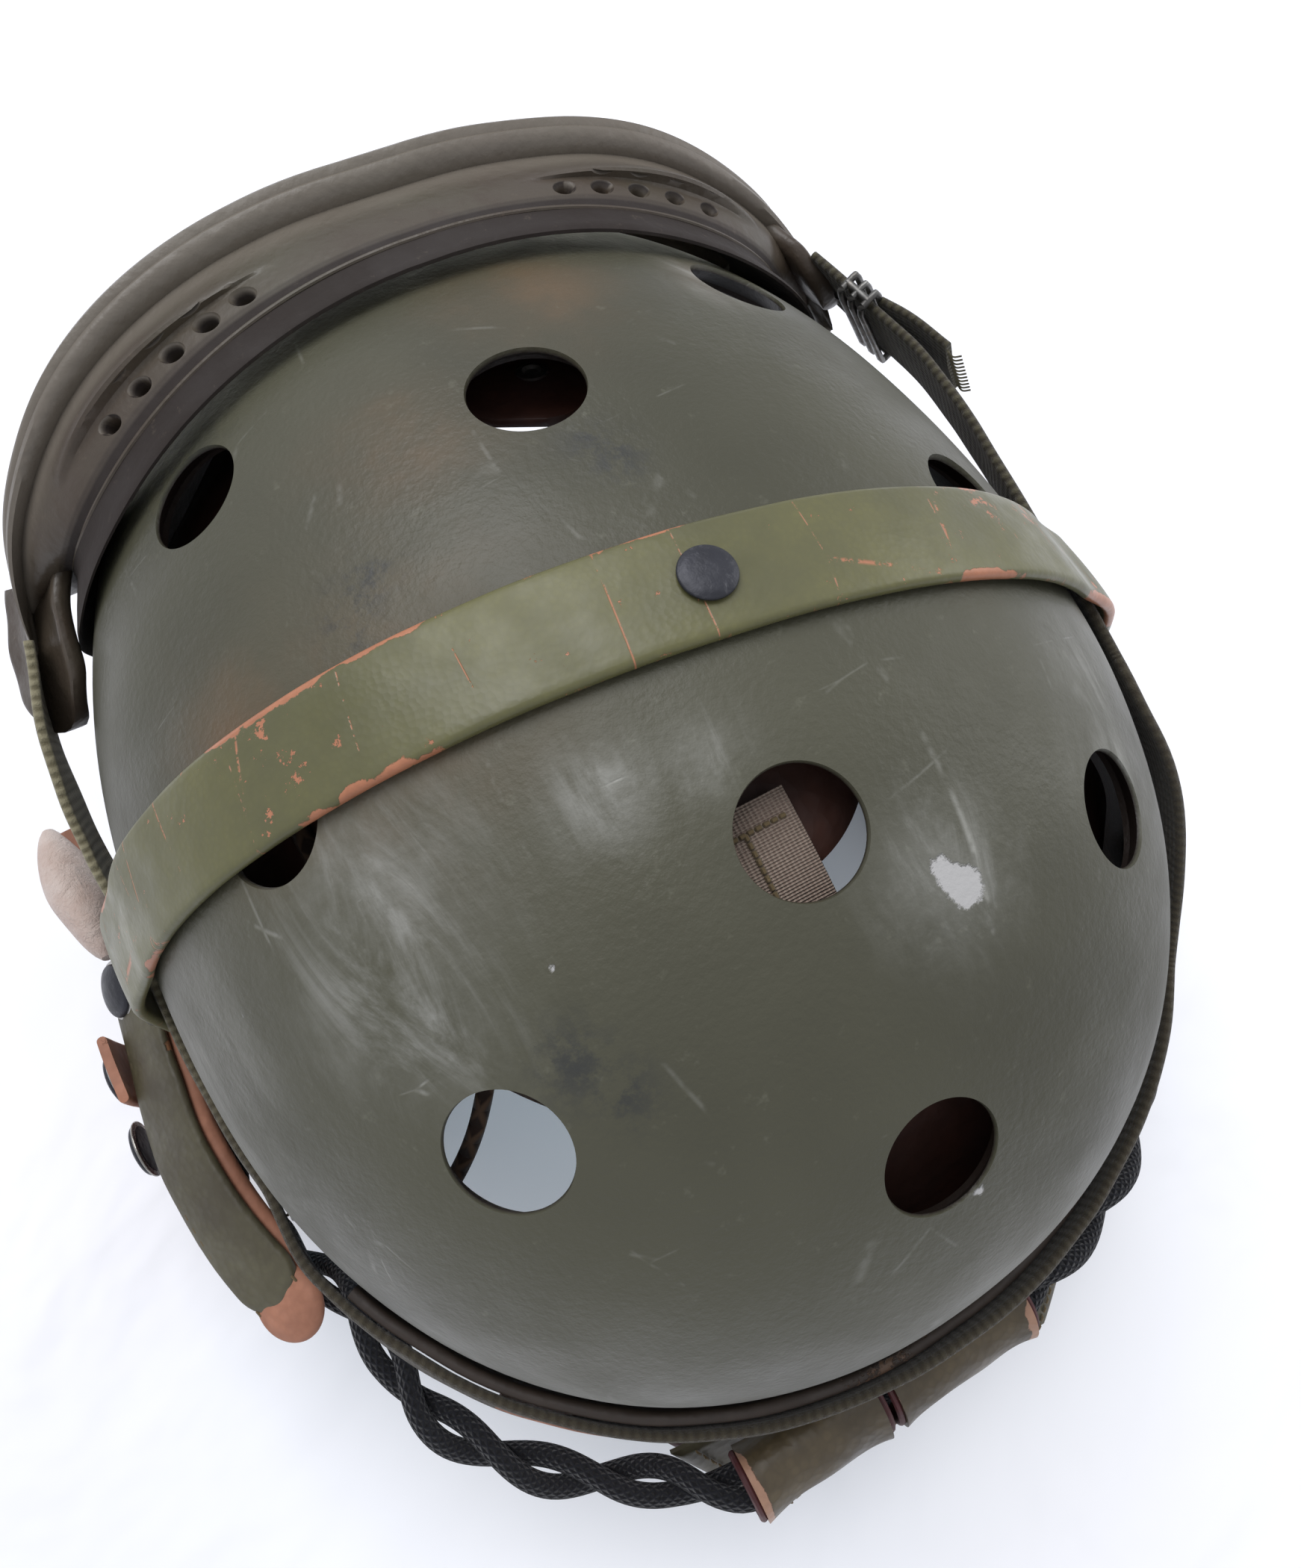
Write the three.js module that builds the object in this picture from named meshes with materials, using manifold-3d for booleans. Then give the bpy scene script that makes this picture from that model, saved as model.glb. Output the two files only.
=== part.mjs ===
// Vintage tank crew helmet with receivers and goggles, in millimetres, +Z up, +X to the wearer's right, +Y forward.
// The helmet stands on the lower edges of its two ear flaps, with the goggles pushed up on the brow.
import * as THREE from 'three';
import { mergeVertices } from 'three/addons/utils/BufferGeometryUtils.js';
import Module from 'manifold-3d';

const wasm = await Module();
wasm.setup();

// Driving dimensions -------------------------------------------------------------------------------------------
const GAP = 0.3;                    // clearance between touching pieces
const EQUATOR_HEIGHT = 112;         // widest level of the dome above the surface that the helmet stands on
const CENTRE_OFFSET = { x: 0, y: -0.5 };  // puts the whole helmet's box centre on the origin

const dome = {
  halfWidth: 108, front: 151.8, rear: 125.2, height: 98.8,
  planPower: 2.173, risePower: 2.103,
  wall: 4, skirt: 20, skirtTaper: 0.04,
};
const VENT_RADIUS = 10.3;
// Vent centres by plan position; the matching ones mirror to the other side.
const CENTRE_VENTS = [[0, 48.6], [0, -40.7], [0, -91.9]];
const SIDE_VENTS = [[57.5, 68.2], [68.9, 3.3], [58.3, -58.9]];

const crownStrap = { width: 20, thickness: 2.4, slant: -0.12, forward: 0, endHeight: -8 };
const goggleStrap = { width: 25, thickness: 2, offset: 1 };
const earFlap = { top: -26, rear: -46, front: 60, thickness: 3.4, lining: 3.6 };
const receiver = { y: 8, z: -66, radius: 25, inner: 104.5 };
const NECK_BAND_THICKNESS = 3;
const STRAP_EQUATOR = 0.88;         // share of the crown strap's half length that lies above the equator
const goggles = {
  forward: 137.5, height: 60, tilt: 40, lensWrap: 58,
  lensHalfWidth: 98, lensHalfHeight: 31, faceHalfWidth: 87, faceHalfHeight: 50,
};
const sleeve = { y: -139.5, z: -26, left: [-46, -14], right: [-10, 26] };
const lead = { radius: 4.2, gap: 2.2, flapReach: 63 };
// Hand-laid routes. A front strap runs from the goggles to the ear, and turns between two upright directions.
const LEFT_STRAP = {
  route: [[-102, 84, 27], [-107, 66, 20], [-110, 44, 8], [-109.6, 28, 0], [-109.4, 16.6, -3]],
  upright: [[-0.22, 0.44, -0.87], [0, 0, -1]],
};
const RIGHT_STRAP = {
  route: [[97.5, 86, 44], [100, 69, 44.7], [102.5, 52, 45.4], [102.6, 30, 45], [101, 12, 43.4], [100.1, -4, 42.4]],
  upright: [[0.5, 0.25, -0.83], [0.47, 0, -0.88]],
};
const SLIDE_PLACE = 0.18;           // share of the right strap's length at the slide
// The receiver lead from the left receiver round the back to the right one.
const LEAD_ROUTE = [
  [-128.4, -6, -64], [-128.4, -20, -62], [-124.6, -36, -56], [-115, -52, -47], [-107, -66, -38], [-103.5, -79, -31],
  [-101, -92, -29], [-93.5, -105, -30], [-83.5, -116, -31], [-72, -124.5, -31], [-61, -131, -29], [-52, -137, -26.5],
  [-45, sleeve.y, sleeve.z], [-10, sleeve.y, sleeve.z], [20, sleeve.y, sleeve.z], [32, -139, -26],
  [46, -136, -27], [64, -130, -28], [82, -118, -30.5], [95, -104, -30], [101.5, -91, -29], [103.5, -79, -31],
  [107, -66, -38], [115, -52, -47], [124.6, -36, -56], [128.4, -20, -62], [128.4, -6, -64],
];
const X = new THREE.Vector3(1, 0, 0);
const Y = new THREE.Vector3(0, 1, 0);
const Z = new THREE.Vector3(0, 0, 1);

// Materials ----------------------------------------------------------------------------------------------------
const materials = {
  shellPaint: { color: 0x4f5040, roughness: 0.6, metalness: 0.05 },
  oliveLeather: { color: 0x63643a, roughness: 0.65, metalness: 0 },
  tanLeather: { color: 0xb07a52, roughness: 0.8, metalness: 0 },
  brownLeather: { color: 0x4a2f22, roughness: 0.75, metalness: 0 },
  maroonLeather: { color: 0x5a2422, roughness: 0.7, metalness: 0 },
  chamois: { color: 0xd2c0ae, roughness: 0.9, metalness: 0 },
  felt: { color: 0x6b6350, roughness: 1, metalness: 0 },
  khakiWebbing: { color: 0x6e6a50, roughness: 0.95, metalness: 0 },
  creamWebbing: { color: 0xb9ad94, roughness: 0.95, metalness: 0 },
  blackCloth: { color: 0x1b1c20, roughness: 0.9, metalness: 0 },
  brownLace: { color: 0x33261f, roughness: 0.9, metalness: 0 },
  goggleRubber: { color: 0x4b4437, roughness: 0.45, metalness: 0 },
  blackRubber: { color: 0x1d1d1c, roughness: 0.6, metalness: 0 },
  bakelite: { color: 0x17161a, roughness: 0.3, metalness: 0 },
  blackMetal: { color: 0x2b2d33, roughness: 0.45, metalness: 0.7 },
  steel: { color: 0x80807c, roughness: 0.4, metalness: 0.9 },
  lens: { color: 0xd9dccf, roughness: 0.1, metalness: 0, transparent: true, opacity: 0.35 },
};

const root = new THREE.Group();
root.position.set(CENTRE_OFFSET.x, CENTRE_OFFSET.y, EQUATOR_HEIGHT);

function addPiece(name, geometry, material, parent = root) {
  const mesh = new THREE.Mesh(geometry, new THREE.MeshStandardMaterial(materials[material]));
  mesh.name = name;
  parent.add(mesh);
  return mesh;
}

// Solid building -----------------------------------------------------------------------------------------------
function vec(x, y, z) {
  return new THREE.Vector3(x, y, z);
}

function lerp(a, b, t) {
  return a + (b - a) * t;
}

function signedVolume(positions, index) {
  let sum = 0;
  const at = (i) => vec(positions[3 * i], positions[3 * i + 1], positions[3 * i + 2]);
  for (let i = 0; i < index.length; i += 3) {
    sum += at(index[i]).dot(at(index[i + 1]).cross(at(index[i + 2])));
  }
  return sum / 6;
}

// A closed body from points and triangles, turned so that its faces point out.
function closedBody(points, index) {
  const positions = points.flatMap((p) => [p.x, p.y, p.z]);
  const faces = signedVolume(positions, index) < 0 ? [...index].reverse() : index;
  const geometry = new THREE.BufferGeometry();
  geometry.setAttribute('position', new THREE.Float32BufferAttribute(positions, 3));
  geometry.setIndex(faces);
  geometry.computeVertexNormals();
  return geometry;
}

// Joins rings of equal point counts. Ends are closed by a strip across the ring, by an apex point each,
// or not at all when the rings run round in a loop.
function loft(rings, { loop = false, apexes = null } = {}) {
  const count = rings[0].length;
  const points = rings.flat();
  const index = [];
  const quad = (a, b, c, d) => index.push(a, b, c, a, c, d);
  const steps = loop ? rings.length : rings.length - 1;
  for (let r = 0; r < steps; r++) {
    const here = r * count;
    const next = ((r + 1) % rings.length) * count;
    for (let i = 0; i < count; i++) {
      const j = (i + 1) % count;
      quad(here + i, here + j, next + j, next + i);
    }
  }
  const last = (rings.length - 1) * count;
  if (apexes) {
    points.push(...apexes);
    for (let i = 0; i < count; i++) {
      const j = (i + 1) % count;
      index.push(points.length - 2, j, i);
      index.push(points.length - 1, last + i, last + j);
    }
  } else if (!loop) {
    for (let i = 0; i < count / 2 - 1; i++) {
      quad(i + 1, i, count - 1 - i, count - 2 - i);
      quad(last + i, last + i + 1, last + count - 2 - i, last + count - 1 - i);
    }
  }
  return closedBody(points, index);
}

// A flat strip of rectangular section: each station is [point, across, outward] with unit directions.
function strip(stations, width, thickness, { loop = false } = {}) {
  const rings = stations.map(([point, across, outward], i) => {
    const half = (Array.isArray(width) ? width[i] : width) / 2;
    const corner = (side, lift) => point.clone().addScaledVector(across, side * half).addScaledVector(outward, lift);
    return [corner(-1, 0), corner(1, 0), corner(1, thickness), corner(-1, thickness)];
  });
  return loft(rings, { loop });
}

// A curved sheet between two surfaces: outer(u, v) and inner(u, v), u and v from 0 to 1.
function sheet(outer, inner, uSteps, vSteps) {
  const rings = [];
  for (let i = 0; i <= uSteps; i++) {
    const u = i / uSteps;
    const ring = [];
    for (let j = 0; j <= vSteps; j++) ring.push(outer(u, j / vSteps));
    for (let j = vSteps; j >= 0; j--) ring.push(inner(u, j / vSteps));
    rings.push(ring);
  }
  return loft(rings);
}

function roundTube(points, radius, sides, steps) {
  const section = new THREE.Shape();
  for (let i = 0; i < sides; i++) {
    const angle = (2 * Math.PI * i) / sides;
    if (i === 0) section.moveTo(radius, 0);
    else section.lineTo(radius * Math.cos(angle), radius * Math.sin(angle));
  }
  const extrudePath = new THREE.CatmullRomCurve3(points, false, 'centripetal');
  return new THREE.ExtrudeGeometry(section, { steps, bevelEnabled: false, extrudePath });
}

function lathe(profile, sides) {
  const geometry = new THREE.LatheGeometry(profile.map(([r, h]) => new THREE.Vector2(r, h)), sides);
  geometry.rotateX(Math.PI / 2);   // the lathe axis becomes +Z
  return geometry;
}

function aim(geometry, position, direction) {
  const turn = new THREE.Quaternion().setFromUnitVectors(Z, direction.clone().normalize());
  return geometry.applyQuaternion(turn).translate(position.x, position.y, position.z);
}

function toManifold(geometry) {
  const bare = geometry.clone();
  bare.deleteAttribute('normal');
  bare.deleteAttribute('uv');
  const merged = mergeVertices(bare, 1e-4);
  return new wasm.Manifold(new wasm.Mesh({
    numProp: 3,
    vertProperties: new Float32Array(merged.attributes.position.array),
    triVerts: new Uint32Array(merged.index.array),
  }));
}

function fromManifold(solid) {
  const mesh = solid.getMesh();
  const geometry = new THREE.BufferGeometry();
  geometry.setAttribute('position', new THREE.BufferAttribute(mesh.vertProperties, 3));
  geometry.setIndex(new THREE.BufferAttribute(mesh.triVerts, 1));
  geometry.computeVertexNormals();
  return geometry;
}

function cut(body, tools) {
  return fromManifold(tools.reduce((solid, tool) => solid.subtract(toManifold(tool)), toManifold(body)));
}

// The dome's surface -------------------------------------------------------------------------------------------
function domeReach(direction) {
  const length = direction.y > 0 ? dome.front : dome.rear;
  const plan = Math.abs(direction.x / dome.halfWidth) ** dome.planPower
    + Math.abs(direction.y / length) ** dome.planPower;
  const rise = Math.abs(direction.z / dome.height) ** dome.risePower;
  return (plan ** (dome.risePower / dome.planPower) + rise) ** (1 / dome.risePower);
}

function domeNormal(point) {
  const step = 0.01;
  const slope = (axis) => domeReach(point.clone().addScaledVector(axis, step))
    - domeReach(point.clone().addScaledVector(axis, -step));
  return vec(slope(X), slope(Y), slope(Z)).normalize();
}

// Point on the dome at an azimuth (from +X towards +Y) and a rise angle, moved out along the normal.
function onDome(azimuth, rise, offset = 0) {
  const length = Math.sin(azimuth) > 0 ? dome.front : dome.rear;
  const direction = vec(
    dome.halfWidth * Math.cos(rise) * Math.cos(azimuth),
    length * Math.cos(rise) * Math.sin(azimuth),
    dome.height * Math.sin(rise),
  );
  const point = direction.divideScalar(domeReach(direction));
  return point.addScaledVector(domeNormal(point), offset);
}

// Point on the dome above a plan position.
function aboveDome(x, y, offset = 0) {
  const length = y > 0 ? dome.front : dome.rear;
  const plan = Math.abs(x / dome.halfWidth) ** dome.planPower + Math.abs(y / length) ** dome.planPower;
  const inside = Math.max(0, 1 - plan ** (dome.risePower / dome.planPower));
  const point = vec(x, y, dome.height * inside ** (1 / dome.risePower));
  return point.addScaledVector(domeNormal(point), offset);
}

// Point at a height on the shell's outside, above or below the equator, moved out level.
function outline(azimuth, height, offset = 0) {
  const level = height > 0 ? (1 - (height / dome.height) ** dome.risePower) ** (1 / dome.risePower) : 1;
  const length = Math.sin(azimuth) > 0 ? dome.front : dome.rear;
  const reach = (Math.abs(Math.cos(azimuth) / dome.halfWidth) ** dome.planPower
    + Math.abs(Math.sin(azimuth) / length) ** dome.planPower) ** (-1 / dome.planPower);
  const taper = height < 0 ? dome.skirtTaper * height : 0;
  const radius = reach * level + offset + taper;
  return vec(radius * Math.cos(azimuth), radius * Math.sin(azimuth), height);
}

function outlineNormal(azimuth) {
  const step = 0.01;
  const tangent = outline(azimuth + step, 0).sub(outline(azimuth - step, 0)).normalize();
  return vec(tangent.y, -tangent.x, 0);
}

const degrees = (angle) => (angle * Math.PI) / 180;

// The shell and every band on it share these azimuths, so that their facets stay clear of each other.
const AROUND = 44;
const facetAngle = (i) => (2 * Math.PI * i) / AROUND;

// A level band round the shell between two facet numbers, following the outline.
function levelBand(from, to, low, high, offset, thickness, loop = false) {
  const rings = [];
  for (let i = from; loop ? i < to : i <= to; i++) {
    const azimuth = facetAngle(i);
    rings.push([
      outline(azimuth, low, offset),
      outline(azimuth, low, offset + thickness),
      outline(azimuth, high, offset + thickness),
      outline(azimuth, high, offset),
    ]);
  }
  return loft(rings, { loop });
}

// Shell --------------------------------------------------------------------------------------------------------
function crownShell() {
  const rises = [80, 69, 58, 47, 36, 25, 13, 0].map(degrees);
  const ring = (place) => Array.from({ length: AROUND }, (_, i) => place(facetAngle(i)));
  const outer = rises.map((rise) => ring((azimuth) => onDome(azimuth, rise)));
  const inner = rises.map((rise) => ring((azimuth) => onDome(azimuth, rise, -dome.wall))).reverse();
  const lowOuter = ring((azimuth) => outline(azimuth, -dome.skirt));
  const lowInner = ring((azimuth) => outline(azimuth, -dome.skirt, -dome.wall));
  const apexes = [vec(0, 0, dome.height), vec(0, 0, dome.height - dome.wall)];
  return loft([...outer, lowOuter, lowInner, ...inner], { apexes });
}

function ventTools() {
  const sides = SIDE_VENTS.flatMap(([x, y]) => [[x, y], [-x, y]]);
  return [...CENTRE_VENTS, ...sides].map(([x, y]) => {
    const centre = aboveDome(x, y);
    const drill = lathe([[0, -12], [VENT_RADIUS, -12], [VENT_RADIUS, 12], [0, 12]], 16);
    return aim(drill, centre, domeNormal(centre));
  });
}

function addShell() {
  addPiece('crown_shell', cut(crownShell(), ventTools()), 'shellPaint');
  addPiece('neck_band', levelBand(26, 40, -26, 7, 1.2, NECK_BAND_THICKNESS), 'brownLeather');
  addPiece('left_hinge_strip', levelBand(19, 25, -25.2, -18, 1.2, 1.4), 'brownLeather');
  addPiece('right_hinge_strip', levelBand(-3, 3, -25.2, -18, 1.2, 1.4), 'brownLeather');
  addPiece('sweatband_felt', levelBand(0, AROUND, -14, 5, -dome.wall - 6, 4, true), 'felt');
  addPiece('sweatband', levelBand(0, AROUND, -20, 5, -dome.wall - 8.8, 2.2, true), 'brownLeather');
}

// Head suspension ----------------------------------------------------------------------------------------------
function liningStrip(azimuth, rises, offsets, widths, thickness) {
  const stations = rises.map((rise, i) => {
    const point = onDome(azimuth, degrees(rise), offsets[i]);
    const outward = domeNormal(point);
    return [point, outward.clone().cross(Z).normalize(), outward];
  });
  return strip(stations, widths, thickness);
}

function crownLace() {
  const count = 24;
  const points = Array.from({ length: count }, (_, i) => onDome((2 * Math.PI * i) / count, degrees(48), -12.5));
  const stations = points.map((point, i) => {
    const along = points[(i + 1) % count].clone().sub(points[(i + count - 1) % count]).normalize();
    const outward = domeNormal(point);
    return [point, outward.clone().cross(along).normalize(), outward];
  });
  return strip(stations, 3.4, 3, { loop: true });
}

function crownPad() {
  const halfWidth = 30;
  const place = (u, v, offset) => {
    const x = lerp(-halfWidth, halfWidth, u);
    const halfLength = 42 * Math.sqrt(1 - (0.9 * x / halfWidth) ** 2);
    return aboveDome(x, lerp(-halfLength, halfLength, v), offset);
  };
  return sheet((u, v) => place(u, v, -12), (u, v) => place(u, v, -14.2), 8, 4);
}

function rearWebbing() {
  const stations = [-33, -45, -56, -66].map((y) => {
    const point = aboveDome(-8, y, -9.6);
    return [point, X, domeNormal(point)];
  });
  return strip(stations, 22, 1.6);
}

function addSuspension() {
  for (let i = 0; i < 6; i++) {
    const azimuth = degrees(15 + 60 * i);
    const tongue = liningStrip(azimuth, [7, 22, 38, 55], [-16, -15.5, -16, -17], [62, 60, 54, 28], 2);
    addPiece(`liner_tongue_${i + 1}`, tongue, 'brownLeather');
  }
  addPiece('crown_lace', crownLace(), 'brownLace');
  addPiece('crown_pad', crownPad(), 'brownLeather');
  addPiece('rear_webbing', rearWebbing(), 'creamWebbing');
}

// Crown strap --------------------------------------------------------------------------------------------------
// t runs from -1 at the left end to 1 at the right end; the last part of each side hangs below the equator.
function crownStrapStation(t) {
  const side = Math.sign(t) || 1;
  const reach = Math.abs(t);
  const azimuth = side > 0 ? 0 : Math.PI;
  const rampStart = side > 0 ? 0.36 : 0.62;
  const overGoggleStrap = Math.min(1, Math.max(0, (reach - rampStart) / 0.14));
  const offset = 0.9 + overGoggleStrap * (goggleStrap.thickness + 1.8);
  const rise = degrees(90 * (1 - reach / STRAP_EQUATOR));
  const hang = Math.max(0, reach - STRAP_EQUATOR) / (1 - STRAP_EQUATOR);
  const point = rise > 0
    ? onDome(azimuth, rise, offset)
    : vec(side * (dome.halfWidth + offset), 0, hang * crownStrap.endHeight);
  const outward = rise > 0 ? domeNormal(point) : vec(side, 0, 0);
  point.y += crownStrap.forward + crownStrap.slant * point.x;
  return [point, Y, outward];
}

function snapCap(radius) {
  return lathe([[0, 0], [radius * 0.8, 0], [radius, 0.7], [radius, 1.5], [radius * 0.7, 2.6], [0, 3]], 14);
}

function addCrownStrap() {
  const stations = Array.from({ length: 29 }, (_, i) => crownStrapStation(lerp(-1, 1, i / 28)));
  addPiece('crown_strap', strip(stations, crownStrap.width, crownStrap.thickness), 'oliveLeather');
  const caps = [['left_strap_snap', -0.92, 7.5], ['right_strap_snap', 0.92, 7.5], ['crown_rivet', 0.04, 4.8]];
  for (const [name, t, radius] of caps) {
    const [point, , outward] = crownStrapStation(t);
    const seat = point.addScaledVector(outward, crownStrap.thickness + GAP);
    addPiece(name, aim(snapCap(radius), seat, outward), 'blackMetal');
  }
}

// Goggle strap -------------------------------------------------------------------------------------------------
// Height of the strap's middle by azimuth in degrees, from the right ear over the rear to the left ear.
const STRAP_HEIGHTS = [[-4, 42], [-18, 36], [-48, 2], [-75, -3], [-120, -6], [-150, -6], [-187, -3]];

function goggleStrapHeight(azimuth) {
  const next = Math.max(1, STRAP_HEIGHTS.findIndex(([limit]) => limit <= azimuth));
  const [startAngle, startHeight] = STRAP_HEIGHTS[next - 1];
  const [endAngle, endHeight] = STRAP_HEIGHTS[next];
  const t = (azimuth - startAngle) / (endAngle - startAngle);
  return lerp(startHeight, endHeight, t * t * (3 - 2 * t));
}

function rearGoggleStrap() {
  const steps = 30;
  const points = [];
  for (let i = 0; i <= steps; i++) {
    const angle = lerp(-4, -187, i / steps);
    const onBand = Math.min(1, Math.max(0, (angle + 162) / 12), Math.max(0, (-18 - angle) / 12));
    const offset = goggleStrap.offset + onBand * (NECK_BAND_THICKNESS + 0.6);
    const height = goggleStrapHeight(angle);
    const azimuth = degrees(angle);
    const point = outline(azimuth, height);
    const outward = height > 0 ? domeNormal(point) : outlineNormal(azimuth);
    points.push([point.addScaledVector(outward, offset), outward]);
  }
  const stations = points.map(([point, outward], i) => {
    const before = points[Math.max(0, i - 1)][0];
    const after = points[Math.min(steps, i + 1)][0];
    const across = outward.clone().cross(after.clone().sub(before)).normalize();
    return [point, across, outward];
  });
  return strip(stations, goggleStrap.width, goggleStrap.thickness);
}

// Stations of a free stretch of the strap in front of the ear.
function frontStrapStation(strap, t) {
  const curve = new THREE.CatmullRomCurve3(strap.route.map((p) => vec(...p)), false, 'centripetal');
  const along = curve.getTangentAt(t);
  const [upright, uprightAtEar] = strap.upright.map((p) => vec(...p));
  const outward = along.clone().cross(upright.lerp(uprightAtEar, t)).normalize();
  if (outward.x * strap.route[0][0] < 0) outward.negate();
  return [curve.getPointAt(t), outward.clone().cross(along).normalize(), outward];
}

function frontGoggleStrap(strap) {
  const stations = Array.from({ length: 13 }, (_, i) => frontStrapStation(strap, i / 12));
  return strip(stations, goggleStrap.width, goggleStrap.thickness);
}

// A wire-thin metal frame round the right strap.
function strapSlide() {
  const [point, across, outward] = frontStrapStation(RIGHT_STRAP, SLIDE_PLACE);
  const along = across.clone().cross(outward);
  const centre = point.clone().addScaledVector(outward, goggleStrap.thickness / 2);
  const ring = (run, grow) => {
    const halfWidth = goggleStrap.width / 2 + 0.7 + grow;
    const halfThick = goggleStrap.thickness / 2 + 0.6 + grow;
    return [[-1, -1], [1, -1], [1, 1], [-1, 1]].map(([a, b]) => centre.clone()
      .addScaledVector(along, run).addScaledVector(across, a * halfWidth).addScaledVector(outward, b * halfThick));
  };
  return loft([ring(-4, 1.6), ring(4, 1.6), ring(4, 0), ring(-4, 0)], { loop: true });
}

function addGoggleStrap() {
  addPiece('goggle_strap_rear', rearGoggleStrap(), 'khakiWebbing');
  addPiece('goggle_strap_left', frontGoggleStrap(LEFT_STRAP), 'khakiWebbing');
  addPiece('goggle_strap_right', frontGoggleStrap(RIGHT_STRAP), 'khakiWebbing');
  addPiece('strap_slide', strapSlide(), 'steel');
}

// Goggles ------------------------------------------------------------------------------------------------------
// Built in their own frame: origin at the lens centre, +Y out through the lens, +Z up along it.
const gogglesGroup = new THREE.Group();
gogglesGroup.position.set(0, goggles.forward, goggles.height);
gogglesGroup.rotation.x = degrees(goggles.tilt);
root.add(gogglesGroup);

// How far the lens surface has curved back at a sideways distance.
function lensSetback(x) {
  const fraction = Math.min(1, Math.abs(x) / goggles.lensHalfWidth) ** 2.6;
  return goggles.lensWrap * (1 - (1 - fraction) ** 0.625);
}

// Distance behind the lens centre's plane at which the dome's surface lies.
function domeSetback(x, z) {
  let near = -10;
  let far = 120;
  const tilt = degrees(goggles.tilt);
  for (let i = 0; i < 24; i++) {
    const middle = (near + far) / 2;
    const point = vec(x, -middle, z).applyAxisAngle(X, tilt).add(gogglesGroup.position);
    if (domeReach(point) > 1) near = middle;
    else far = middle;
  }
  return near;
}

function roundedRectangle(angle, halfWidth, halfHeight) {
  const power = 2 / 3;
  const c = Math.cos(angle);
  const s = Math.sin(angle);
  return [
    halfWidth * Math.sign(c) * Math.abs(c) ** power,
    halfHeight * Math.sign(s) * Math.abs(s) ** power,
  ];
}

function goggleSection(angle) {
  const lensEdge = (scale, ahead) => {
    const [x, z] = roundedRectangle(angle, goggles.lensHalfWidth * scale, goggles.lensHalfHeight * scale);
    return vec(x, ahead - lensSetback(x), z);
  };
  const faceEdge = (scale, above) => {
    const [x, z] = roundedRectangle(angle, goggles.faceHalfWidth * scale, goggles.faceHalfHeight * scale);
    return vec(x, above - domeSetback(x, z), z);
  };
  const wallOuter = lensEdge(1.0, -4).lerp(faceEdge(0.95, 8), 0.6);
  const wallInner = lensEdge(0.93, -6).lerp(faceEdge(0.88, 6), 0.55);
  return [
    lensEdge(1.0, 2.5), lensEdge(1.03, 0), lensEdge(1.0, -4), wallOuter, faceEdge(0.95, 8),
    faceEdge(1.05, 6), faceEdge(1.05, 3.8), faceEdge(0.86, 3.8), wallInner,
    lensEdge(0.89, -4.8), lensEdge(0.89, -2), lensEdge(0.96, -2), lensEdge(0.96, 2.5),
  ];
}

function goggleFrame() {
  const around = 40;
  const rings = Array.from({ length: around }, (_, i) => goggleSection((2 * Math.PI * (i + 0.5)) / around));
  const vents = [];
  for (let i = 0; i < 5; i++) {
    const sideways = lerp(36, 71, i / 4);
    const angle = Math.acos((sideways / goggles.lensHalfWidth) ** 1.5);
    for (const mirror of [-1, 1]) {
      const wall = goggleSection(angle)[3];
      const drill = lathe([[0, -10], [1.9, -10], [1.9, 10], [0, 10]], 8);
      vents.push(drill.translate(mirror * wall.x, wall.y, wall.z));
    }
  }
  return cut(loft(rings, { loop: true }), vents);
}

function goggleLens() {
  const place = (u, v, ahead) => {
    const x = lerp(-1, 1, u) * goggles.lensHalfWidth * 0.915;
    const fraction = Math.min(0.98, Math.abs(x) / (goggles.lensHalfWidth * 0.945));
    const halfHeight = goggles.lensHalfHeight * 0.92 * (1 - fraction ** 3) ** (1 / 3);
    return vec(x, ahead - lensSetback(x), lerp(-halfHeight, halfHeight, v));
  };
  return sheet((u, v) => place(u, v, 0), (u, v) => place(u, v, -1.1), 20, 1);
}

function addGoggles() {
  addPiece('goggle_frame', goggleFrame(), 'goggleRubber', gogglesGroup);
  addPiece('goggle_lens', goggleLens(), 'lens', gogglesGroup);
}

// Ear flaps ----------------------------------------------------------------------------------------------------
// Drawn on the wearer's right and mirrored for the left; u runs from the rear to the front, v from top to bottom.
function flapPoint(u, v, offset) {
  const y = lerp(lerp(earFlap.rear, -36, v), lerp(earFlap.front, 44, v), u);
  const corner = Math.max(0, Math.abs(2 * u - 1) - 0.62) / 0.38;
  const bottom = -EQUATOR_HEIGHT + 16 * corner ** 2;
  const followShell = 9 * ((y - 4) / 56) ** 2 * (1 - v);
  const curl = 45 * Math.max(0, u - 0.8) * Math.sin(Math.PI * Math.min(1, v + 0.15));
  const bulge = 15 * Math.sin(Math.PI * v) ** 1.2;
  return vec(lerp(103.6, 100.5, v) - followShell + bulge + curl + offset, y, lerp(earFlap.top, bottom, v));
}

function flapSheet(from, to, margin) {
  const place = (offset) => (u, v) => flapPoint(lerp(margin, 1 - margin, u), lerp(margin, 1 - margin, v), offset);
  return sheet(place(to), place(from), 10, 9);
}

function atEar(geometry, x, y, z) {
  return aim(geometry, vec(x, y, z), X);
}

function receiverHole() {
  const radius = receiver.radius + 0.5;
  return atEar(lathe([[0, 0], [radius, 0], [radius, 50], [0, 50]], 20), 90, receiver.y, receiver.z);
}

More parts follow.
